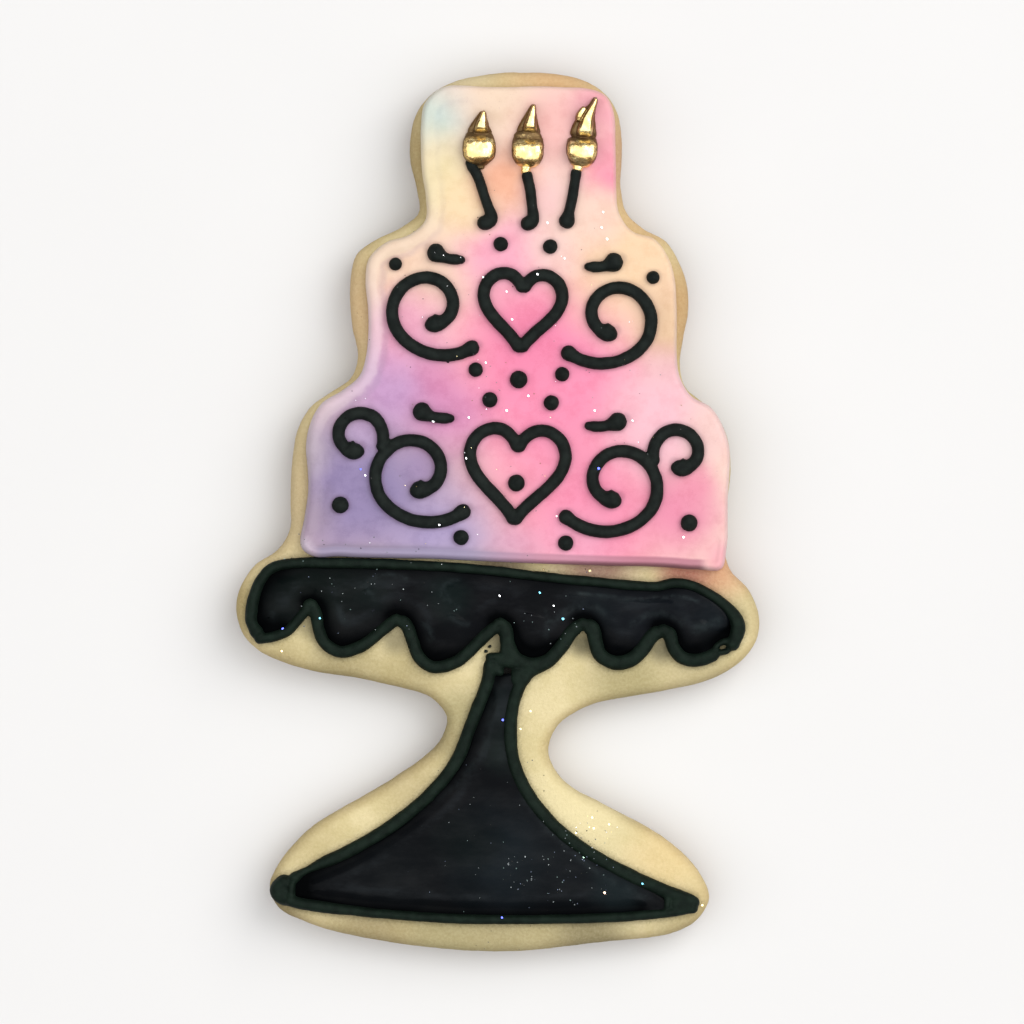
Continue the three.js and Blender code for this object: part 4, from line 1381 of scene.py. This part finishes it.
def highlight_strength(places):
    """How clearly a drag mark's painted highlight shows at each place."""
    shows = np.zeros(len(places))
    for route, width, share in highlight_streaks:
        mark = nearest(places, on_plan(route, 0.2))
        shows = np.maximum(shows, share * bell(mark / width))
    return shows


CROWD_REACH = 2.0
SHADY_SIDE = np.array([-0.9, -0.44])
LIT_SHARE = 0.08                  # how much of the crease's darkness is left on the lit side
CREASE_LEVEL, LIT_RISE = 0.35, 0.5  # fill beside the line on the shady side, and what the lit adds


def line_beside(places):
    """How closely the piped line stands round each place, and whether it stands on the shady side.

    The first number is 1 on a straight line and more in a pocket. The second goes from 0, with the
    line to the right or above, to 1, with the line to the left or below.
    """
    line = np.vstack([s["points"] for s in stand_strokes])
    crowd, side = np.empty(len(places)), np.empty(len(places))
    for i, place in enumerate(places):
        off = line - place
        pull = np.exp(-(off ** 2).sum(axis=1) / CROWD_REACH ** 2)
        towards = pull @ off
        crowd[i] = pull.sum() * STROKE_STEP / (CROWD_REACH * math.sqrt(math.pi))
        side[i] = towards @ SHADY_SIDE / (np.linalg.norm(towards) + 0.3 * pull.sum() + 1e-9)
    return crowd, smoothstep(side, -0.85, 0.1)


def run_in_top(places, depth):
    """Full a few millimetres in from the line, and low in the crease beside it on the shady side."""
    swell = smoothstep(depth, 0.6, 3.2)
    _, shady = line_beside(places)
    level = CREASE_LEVEL + LIT_RISE * (1 - shady)
    return COOKIE_TOP + FLOOD_DEPTH * (level + (1 - level) * swell) - dented(places) * swell


def run_in_piece(name, route, node, seed, shade):
    """The icing run inside a line, whose crease is as dark as `shade` says."""
    outline = anticlockwise(on_plan(route, OUTLINE_STEP, True))
    mesh = slab(name, outline, run_in_top, [(0, COOKIE_TOP - SINK)], FLOOD_STEPS, FLOOD_GRID)
    mesh = settled(mesh, lumps=(4.0, 0.09), grain=(1.0, 0.01), seed=seed)
    places = places_of(mesh)
    crowd, shady = line_beside(places)
    give(mesh, "crowd", shade * crowd * (LIT_SHARE + (1 - LIT_SHARE) * shady))
    give(mesh, "drag", highlight_strength(places))
    place_piece(name, mesh, run_in_finished, [node])


# the icing inside ends under the middle of the line round it
plate_inside = [
    (28.4, -17.05), (29.5, -16.75), (30.3, -16.3), *plate_edge[2:-1],
    *[place for route, _ in scallops for place in route[:-1]][1:],
]
foot_inside = [
    (0.5, -20.95), (-0.6, -21.1), *foot_left_route[3:-1], (-27, -48.9), *foot_base_route[1:-1],
    *foot_right_route[1:-2], (1.7, -21),
]
run_in_piece("plate_run_in", plate_inside, "plate_flood", seed=5.0, shade=1.0)
run_in_piece("foot_run_in", foot_inside, "foot_flood", seed=9.0, shade=0.85)

# %% The stand's line
stand_mesh = piped("stand_line", stand_strokes, seed=2.0, lumps=(1.2, 0.06), grain=(0.3, 0.03),
                   voxel=0.152, melt=4, fullness=1.25)
place_piece("stand_line", stand_mesh, stand_finished, ["plate_outline", "foot_outline"])

# %% [markdown]
# ## Piped decoration
#
# The candles and the scrollwork come from the same tip as the stand, so they use the same tree and
# differ only in their routes. Each one that the frame keeps as a solid gets its own piece.

# %% Candles and scrollwork
def pipe_on_tiers(node, strokes, seed):
    """Puts the piped lines that stand for one solid on the tiers."""
    mesh = piped(f"piped_{node}", strokes, seed, lumps=(1.4, 0.06), grain=(0.3, 0.025), fullness=1.15)
    place_piece(f"piped_{node}", mesh, piping_finished, [node])


for i, line in enumerate(candle_strokes):
    pipe_on_tiers(f"candle_{i + 1}", [line], 10.0 + i)
for i, (node, strokes) in enumerate(tier_strokes.items()):
    pipe_on_tiers(node, strokes, 20.0 + i)


# %% [markdown]
# ## A tree that scatters
#
# Dots, crumbs and glitter are many copies of a small shape. The tree below puts one shape on every
# point of a mesh, turned and sized by the point's own attributes, and hands back one plain mesh.

# %% The scattering tree
def scattering_tree(name, shape):
    """A tree that puts copies of a shape on points. `shape` adds its nodes and gives its socket."""
    tree, given, out = group(name, [("Material", "Material", None)])

    def of_point(label):
        settings = {"data_type": "FLOAT_VECTOR"}
        return tree.node("GeometryNodeInputNamedAttribute", settings, {"Name": label}).outputs[0]

    copies = tree.node("GeometryNodeInstanceOnPoints", None, {
        "Points": given["Geometry"], "Instance": shape(tree),
        "Rotation": of_point("turn"), "Scale": of_point("size")})
    return hand_back(tree, copies.outputs[0], given, out)


def scattered(name, tree, places, sizes, turns, tints=None):
    """What a tree puts on some points, as a plain mesh in millimetres."""
    points = bpy.data.meshes.new(name)
    points.from_pydata([tuple(place) for place in places], [], [])
    for label, values in ("size", sizes), ("turn", turns):
        stored = points.attributes.new(label, "FLOAT_VECTOR", "POINT")
        stored.data.foreach_set("vector", np.ravel(values))
    if tints:
        stored = points.attributes.new("tint", "FLOAT_COLOR", "POINT")
        stored.data.foreach_set("color", np.ravel(tints))
    holder = add_object(name, points)
    add_nodes(holder, tree)
    return plain_mesh(holder)


# %% [markdown]
# A dot is squeezed straight down and the tip lifted away, which leaves a dome with a small peak that
# leans a little to one side.

# %% Dots of icing
DOME_FLOOR = 0.16                 # the flat underside lies this far below the ball's middle
PEAK_REACH, PEAK_HEIGHT = 0.22, 0.06
DOME_HEIGHT = 0.5 + DOME_FLOOR + PEAK_HEIGHT
LEAN = 0.06


def dome(tree):
    """A dot one wide: the upper part of a ball, with a small peak in the middle."""
    ball = tree.node("GeometryNodeMeshUVSphere", None, {"Segments": 28, "Rings": 18, "Radius": 0.5})
    place = tree.node("GeometryNodeInputPosition").outputs[0]
    x, y, z = (tree.part(place, axis) for axis in "XYZ")
    away = z.math("SQRT", x * x + y * y)
    peak = (1 - away.smooth(0.0, PEAK_REACH)) * PEAK_HEIGHT
    height = z.math("MAXIMUM", z, -DOME_FLOOR) + DOME_FLOOR + peak
    return shifted(tree, ball.outputs[0], Position=tree.joined(x, y, height))


def dot_height(size):
    """Wider dots are higher, like the lines."""
    return LINE_HEIGHT * math.sqrt(size / LINE["width"]) + SINK


squeeze_dots = scattering_tree("squeeze dots", dome)
lean = random.Random(4)
for name, found in dots.items():
    places = [(*place, ICING_TOP - SINK) for place, _, _ in found]
    sizes = [(size, size, dot_height(size) / DOME_HEIGHT) for _, size, _ in found]
    turns = [(lean.uniform(-LEAN, LEAN), lean.uniform(-LEAN, LEAN), lean.uniform(0, math.tau))
             for _ in found]
    mesh = scattered(f"piped_dots_{name}", squeeze_dots, places, sizes, turns)
    mesh = settled(mesh, lumps=(1.0, 0.06), grain=(0.35, 0.02))
    place_piece(f"piped_dots_{name}", mesh, piping_finished, [node for _, _, node in found])

# %% [markdown]
# ## The gilded flames
#
# Each flame is a round kiss of stiff icing on a short stub, with a second kiss pulled from it into a
# pointed tip, and is painted with gold. A kiss is a short stroke with its own widths and heights. A
# tip is two of them, a low skirt and a narrow ridge along its right side. The broad backs mirror the
# skylight, and the steep faces mirror the dim room. That gives every flame its bright patches and
# brown bands. The creases and the steep flanks of the tips are painted brown as painted shade. Low
# down the paint is thin and brown shows through, which also paints shade on the low rims.

# %% Shape of the flames
FLAME_HEIGHT = box_mm("flame_1")[1].z - ICING_TOP
SKIRT_SHARE = 0.58                # of the tip's height
RIDGE_SHARE, RIDGE_LEAST = 0.6, 0.14  # of the tip's width
RIDGE_SHIFT = 0.18


def pulled_tip(route, stations):
    """The kiss at the tip: a low skirt with a narrower, higher ridge along its right side."""
    skirt = [(share, width, SKIRT_SHARE * height) for share, width, height in stations]
    ridge = [(share, RIDGE_SHARE * width + RIDGE_LEAST, height) for share, width, height in stations]
    return [(route, skirt), ([(x + RIDGE_SHIFT, y) for x, y in route], ridge)]


# for each flame its stub and its kisses, each as the route and then, at some shares of the route, the
# width and the share of the flame's height
kisses = [
    [
        ([(-2.45, 44.4), (-2.45, 45.6)], [(0, 1.0, 0.3), (0.5, 1.4, 0.45), (1, 1.4, 0.5)]),
        ([(-2.45, 44.7), (-2.55, 47.1), (-2.5, 49.4)], [
            (0, 1.3, 0.36), (0.08, 2.2, 0.56), (0.15, 3.1, 0.76), (0.22, 3.7, 0.92), (0.3, 4.1, 0.97),
            (0.43, 4.35, 0.98), (0.58, 4.4, 0.98), (0.7, 4.25, 0.92), (0.82, 3.9, 0.64), (1, 3.2, 0.34)]),
        *pulled_tip([(-2.45, 48.7), (-2.42, 49.9), (-2.2, 51.2), (-2.1, 52.0)], [
            (0, 2.8, 0.4), (0.14, 3.4, 0.6), (0.28, 3.1, 0.94), (0.45, 2.4, 0.94), (0.65, 1.8, 0.92),
            (0.82, 1.15, 0.9), (1, 0.5, 0.86)]),
    ],
    [
        ([(3.45, 43.75), (3.55, 45.2)], [(0, 1.15, 0.42), (0.35, 1.3, 0.5), (1, 1.2, 0.4)]),
        ([(3.6, 44.6), (3.72, 46.5), (3.8, 48.8)], [
            (0, 1.9, 0.42), (0.1, 2.8, 0.62), (0.18, 3.5, 0.84), (0.3, 4.0, 0.96), (0.5, 4.2, 0.98),
            (0.68, 4.2, 0.94), (0.82, 4.05, 0.7), (1, 3.6, 0.4)]),
        ([(3.72, 48.2), (3.8, 49.3)], [
            (0, 3.3, 0.45), (0.35, 3.8, 0.62), (0.6, 3.6, 0.62), (1, 2.8, 0.5)]),
        *pulled_tip([(3.8, 48.9), (3.92, 50), (4.15, 51.3), (4.42, 52.85)], [
            (0, 3.0, 0.48), (0.12, 3.2, 0.74), (0.22, 2.9, 0.95), (0.4, 2.3, 0.94), (0.58, 1.7, 0.93),
            (0.75, 1.2, 0.92), (0.9, 0.75, 0.9), (1, 0.45, 0.86)]),
    ],
    [
        ([(10.15, 44.1), (10.25, 45.3)], [(0, 1.15, 0.42), (0.35, 1.3, 0.5), (1, 1.2, 0.4)]),
        ([(10.4, 44.6), (10.66, 46.2), (10.75, 47.3), (10.8, 48.7)], [
            (0, 1.8, 0.4), (0.12, 2.7, 0.6), (0.25, 3.5, 0.84), (0.38, 3.9, 0.95), (0.55, 4.05, 0.98),
            (0.72, 4, 0.94), (0.84, 3.9, 0.68), (1, 3.5, 0.38)]),
        *pulled_tip([(10.85, 48.3), (11.1, 49.9), (11.5, 51.3), (12.25, 52.95), (12.42, 53.75)], [
            (0, 3.0, 0.4), (0.08, 3.5, 0.66), (0.16, 3.5, 0.93), (0.3, 3.1, 0.95), (0.45, 2.5, 0.94),
            (0.6, 1.8, 0.93), (0.74, 1.25, 0.92), (0.86, 0.85, 0.9), (1, 0.45, 0.86)]),
        ([(10.25, 50.4), (10.5, 51.4), (11.2, 52.4)], [
            (0, 0.8, 0.74), (0.4, 1.05, 0.94), (1, 0.8, 0.92)]),
    ],
]
KISS_STEP = 0.12
KISS_END = 0.08     # the share of a kiss's length over which its end rounds off
SOFTENED_OVER = 5   # points whose mean softens the run of widths and heights


def kiss(route, stations):
    """A pulled blob, as a stroke for the piping tree."""
    points = on_plan(route, KISS_STEP)
    t = np.linspace(0, 1, len(points))
    shares, widths, heights = zip(*stations)
    ends = np.sqrt(1 - ((1 - np.clip(np.minimum(t, 1 - t) / KISS_END, 0, 1)) * ROUND_END) ** 2)

    def soft(values):
        run = np.pad(np.interp(t, shares, values), SOFTENED_OVER // 2, mode="edge")
        return np.convolve(run, np.ones(SOFTENED_OVER) / SOFTENED_OVER, mode="valid")

    rise = (FLAME_HEIGHT * soft(heights) + SINK) * ends ** END_RISE
    return {"points": points, "half": 0.5 * soft(widths) * ends, "rise": rise, "base": ICING_TOP - SINK}


def hollows(mesh):
    """How far each point lies down in a crease: the mean rise to its neighbours, softened once."""
    place, normal = (np.empty(3 * len(mesh.vertices), np.float32) for _ in range(2))
    mesh.vertices.foreach_get("co", place)
    mesh.vertices.foreach_get("normal", normal)
    place, normal = place.reshape(-1, 3), normal.reshape(-1, 3)
    ends = np.empty(2 * len(mesh.edges), np.int32)
    mesh.edges.foreach_get("vertices", ends)
    ends = np.vstack([ends.reshape(-1, 2), ends.reshape(-1, 2)[:, ::-1]])
    here, there = ends.T
    run = place[there] - place[here]
    rise = (run * normal[here]).sum(axis=1) / np.linalg.norm(run, axis=1)
    beside = np.bincount(here)
    depth = np.bincount(here, rise) / beside
    return 0.5 * depth + 0.5 * np.bincount(here, depth[there]) / beside


def gold_finish():
    gold = Finish("crinkled_gold", share=1, Metallic=1.0)
    crinkle = gold.noise(1.7, 5.0, 0.65)
    worn = gold.noise(0.9, 3.0)
    leaf = gold.coat(linear("F4D088", 1), worn.smooth(0.35, 0.7), "FFEEB4")
    # brown low down, partly thin paint and partly painted shade on the low rims, but not on the stubs of
    # the two right flames, which are well painted
    stub = (1 - gold.along("Y").smooth(44.8, 45.2)) * gold.along("X").smooth(0, 1)
    ragged = gold.along("Z") + (crinkle - 0.5) * 1.4
    low = (1 - ragged.smooth(ICING_TOP + 1.2, ICING_TOP + 1.75)) * (1 - stub)
    thin_and_shaded = gold.coat(leaf, low * 0.95, "6A543A")
    # painted shade: brown on the steep flanks of the tips, and in the creases
    upward = gold.part(gold.node("ShaderNodeNewGeometry").outputs["Normal"], "Z")
    tip = gold.along("Y").smooth(49.2, 50)
    flank = (1 - (upward + (crinkle - 0.5) * 0.3).smooth(0.8, 0.95)) * tip
    flank_shaded = gold.coat(thin_and_shaded, flank * 0.85, "7A5C38")
    crease = gold.attribute("hollow").smooth(0.03, 0.16)
    crease_shaded = gold.coat(flank_shaded, crease * 0.65, "6A4C2E")
    gold.bump(crinkle, 0.13, 0.7)
    return gold.finish(Base_Color=crease_shaded, Roughness=0.13 + worn * 0.12 + low * 0.3 + crease * 0.2)


gold_finished = gold_finish()
for i, parts in enumerate(kisses):
    mesh = piped(f"gilded_flame_{i + 1}", [kiss(*part) for part in parts], seed=40.0 + i,
                 lumps=(1.1, 0.07), grain=(0.4, 0.03), voxel=0.07, melt=1, swell=0.05, fullness=1.7)
    give(mesh, "hollow", hollows(mesh))
    place_piece(f"gilded_flame_{i + 1}", mesh, gold_finished, [f"flame_{i + 1}"])

# %% [markdown]
# ## Glitter and crumbs
#
# The decorator dusted the cookie with fine edible glitter. Most flakes lie anyhow and hardly show. A
# few happen to face halfway between the eye and the softbox, and flash white, blue or green. Their
# places are listed and the fine dust is spread at random. Every flake is a real thin
# hexagon, put down on whatever surface is below it. Five crumbs of black icing fell off as well.

# %% Surfaces to land on
def surface_of(pieces):
    """One search tree over all of some pieces."""
    places, faces = [], []
    for piece in pieces:
        start = len(places)
        places += [v.co for v in piece.data.vertices]
        faces += [[start + i for i in face.vertices] for face in piece.data.polygons]
    return BVHTree.FromPolygons(places, faces)


LANDING = ("sugar_dough", "flooded_icing", "plate_run_in", "foot_run_in", "stand_line", "piped_")
surface = surface_of([piece for piece in bpy.data.objects if piece.name.startswith(LANDING)])
WELL_ABOVE = 0.05
DOWN = Vector((0, 0, -1))


def landed(x, y):
    """The top of whatever lies at x and y of the plan, in millimetres, or nothing past the edge."""
    above = Vector(((x + PLAN_SHIFT[0]) * MM, (y + PLAN_SHIFT[1]) * MM, WELL_ABOVE))
    point = surface.ray_cast(above, DOWN)[0]
    return point / MM if point else None


# %% Glitter
TINTS = {
    "white": (0.9, 0.92, 0.95), "straw": (1.0, 0.86, 0.42), "blue": (0.04, 0.07, 0.9),
    "cyan": (0.10, 0.55, 0.75), "green": (0.45, 0.85, 0.6), "peach": (1.0, 0.62, 0.42),
    "grey": (0.06, 0.07, 0.07), "dim blue": (0.02, 0.035, 0.08), "dim green": (0.03, 0.07, 0.06),
}
flashes = {
    "white": [
        (6.3, 37.5), (13.3, 36.9), (14, 35.4), (13.5, 38.9), (8.5, 32.9), (5, 30.8), (-2, 30.4),
        (1, 28.6), (1.7, 25), (-1.7, 19.4), (3.8, 15.1), (1, 13.2), (12.4, 13.2), (17.3, 11.9),
        (-8.5, 11.8), (-3.9, 12.3), (-4.2, 7), (-17.3, 4.8), (-7.7, -1.6), (7.5, -0.5),
        (23.9, -3.2), (0.1, -10.8), (7.1, -12.1),
    ],
    "straw": [(5.8, -7.4), (11.8, -7.5), (-28.2, -18), (12.1, -39.6), (12.3, -41), (14.3, -40.5),
              (10, -41.6), (2.8, -28.1), (4.1, -25.8), (26.4, -51)],
    "blue": [(-28, -15.1), (0.5, -26.9), (0.4, -52.5), (-17.9, 5.6), (12.9, 5.7)],
    "cyan": [(5.3, -10.4), (8.3, -13.8), (-23.2, -13.7), (18.6, -48.1)],
    "green": [(11, -44.7)],
    "peach": [(13.7, -49.3)],
}
# fine dust: the middle and reach of each patch, how many flakes, how large, and their tints
PALE = ("white", "white", "straw")
DIM = ("grey", "grey", "dim blue", "dim green")
dust_patches = [
    ((2, 22), 16, 22, 0.12, PALE), ((-8, 6), 14, 22, 0.12, PALE), ((14, 8), 12, 14, 0.12, PALE),
    ((12.5, -41), 3, 14, 0.13, PALE), ((-23, -8.2), 7, 30, 0.16, DIM), ((6, -11), 7, 26, 0.15, DIM),
    ((2.5, -46.5), 2.5, 30, 0.16, DIM), ((10, -46), 5, 60, 0.16, DIM), ((-14, -11), 9, 26, 0.14, DIM),
    ((0, -45), 14, 50, 0.13, DIM), ((2, 20), 22, 40, 0.12, ("grey",)),
]
FLASH_TILT, DUST_TILT = 0.05, 0.6   # how far flakes lie from their direction, in radians
FLASH_SIZES = (0.26, 0.38)
FLAKE_LIFT = 0.04                   # a flake's middle lies this far above what it landed on
STRAIGHT_UP = Vector((0, 0, 1))
spread = random.Random(12)


def random_tilt(widest):
    """A direction up to `widest` from straight up, in radians."""
    tilt, turn = widest * math.sqrt(spread.random()), spread.uniform(0, math.tau)
    return Vector((math.sin(tilt) * math.cos(turn), math.sin(tilt) * math.sin(turn), math.cos(tilt)))


flakes = []


def drop_flake(x, y, size, facing, tint):
    """Adds a flake to the list, as its place, size, turn and tint."""
    place = landed(x, y)
    if place:
        flakes.append((
            place + STRAIGHT_UP * FLAKE_LIFT,
            (size, size * spread.uniform(0.75, 1), size),
            tuple(facing.to_track_quat("Z", "Y").to_euler()),
            (*TINTS[tint], 1)))


halfway = (to_key + STRAIGHT_UP).normalized()
for tint, flashing in flashes.items():
    for x, y in flashing:
        facing = (halfway + random_tilt(FLASH_TILT) - STRAIGHT_UP).normalized()
        drop_flake(x, y, spread.uniform(*FLASH_SIZES), facing, tint)
for (x, y), reach, count, size, choice in dust_patches:
    for _ in range(count):
        away, turn = reach * math.sqrt(spread.random()), spread.uniform(0, math.tau)
        drop_flake(x + away * math.cos(turn), y + away * math.sin(turn),
                   size * spread.uniform(0.7, 1.3), random_tilt(DUST_TILT), spread.choice(choice))
print("glitter:", len(flakes), "flakes")


def hexagon(tree):
    inputs = {"Vertices": 6, "Radius": 0.5, "Depth": 0.12}
    return tree.node("GeometryNodeMeshCylinder", None, inputs).outputs[0]


def glitter_finish():
    glitter = Finish("glitter", Metallic=1.0)
    tint = glitter.node("ShaderNodeAttribute", {"attribute_name": "tint"}).outputs["Color"]
    patch = glitter.noise(9.0, 1.0)
    silvered = glitter.mix(patch * 0.2, tint, (0.8, 0.85, 0.9, 1))
    return glitter.finish(Base_Color=silvered, Roughness=0.12 + patch * 0.12)


glitter_mesh = scattered("glitter", scattering_tree("scatter glitter", hexagon), *zip(*flakes))
place_piece("glitter", glitter_mesh, glitter_finish(), [], smooth=False)

# %% Crumbs
# where each crumb lies and how large it is
crumbs = [(-1.2, -17.4, 0.5), (-1.7, -18, 0.45), (-6.6, 27.1, 0.3), (-6.6, 19.5, 0.3),
          (-19.9, 12.2, 0.3)]
CRUMB_LIFT = 0.2             # as a share of its size
CRUMB_SHAPE = (1, 0.8, 0.7)  # length, width and height


def pellet(tree):
    return tree.node("GeometryNodeMeshIcoSphere", None, {"Radius": 0.5, "Subdivisions": 3}).outputs[0]


places = [landed(x, y) + STRAIGHT_UP * (CRUMB_LIFT * size) for x, y, size in crumbs]
sizes = [[size * share for share in CRUMB_SHAPE] for _, _, size in crumbs]
turns = [(0, 0, spread.uniform(0, math.tau)) for _ in crumbs]
crumb_mesh = scattered("crumbs", scattering_tree("scatter crumbs", pellet), places, sizes, turns)
crumb_mesh = settled(crumb_mesh, lumps=(0.3, 0.12), grain=(0.1, 0.03), seed=6.0)
place_piece("crumbs", crumb_mesh, piping_finished, [])
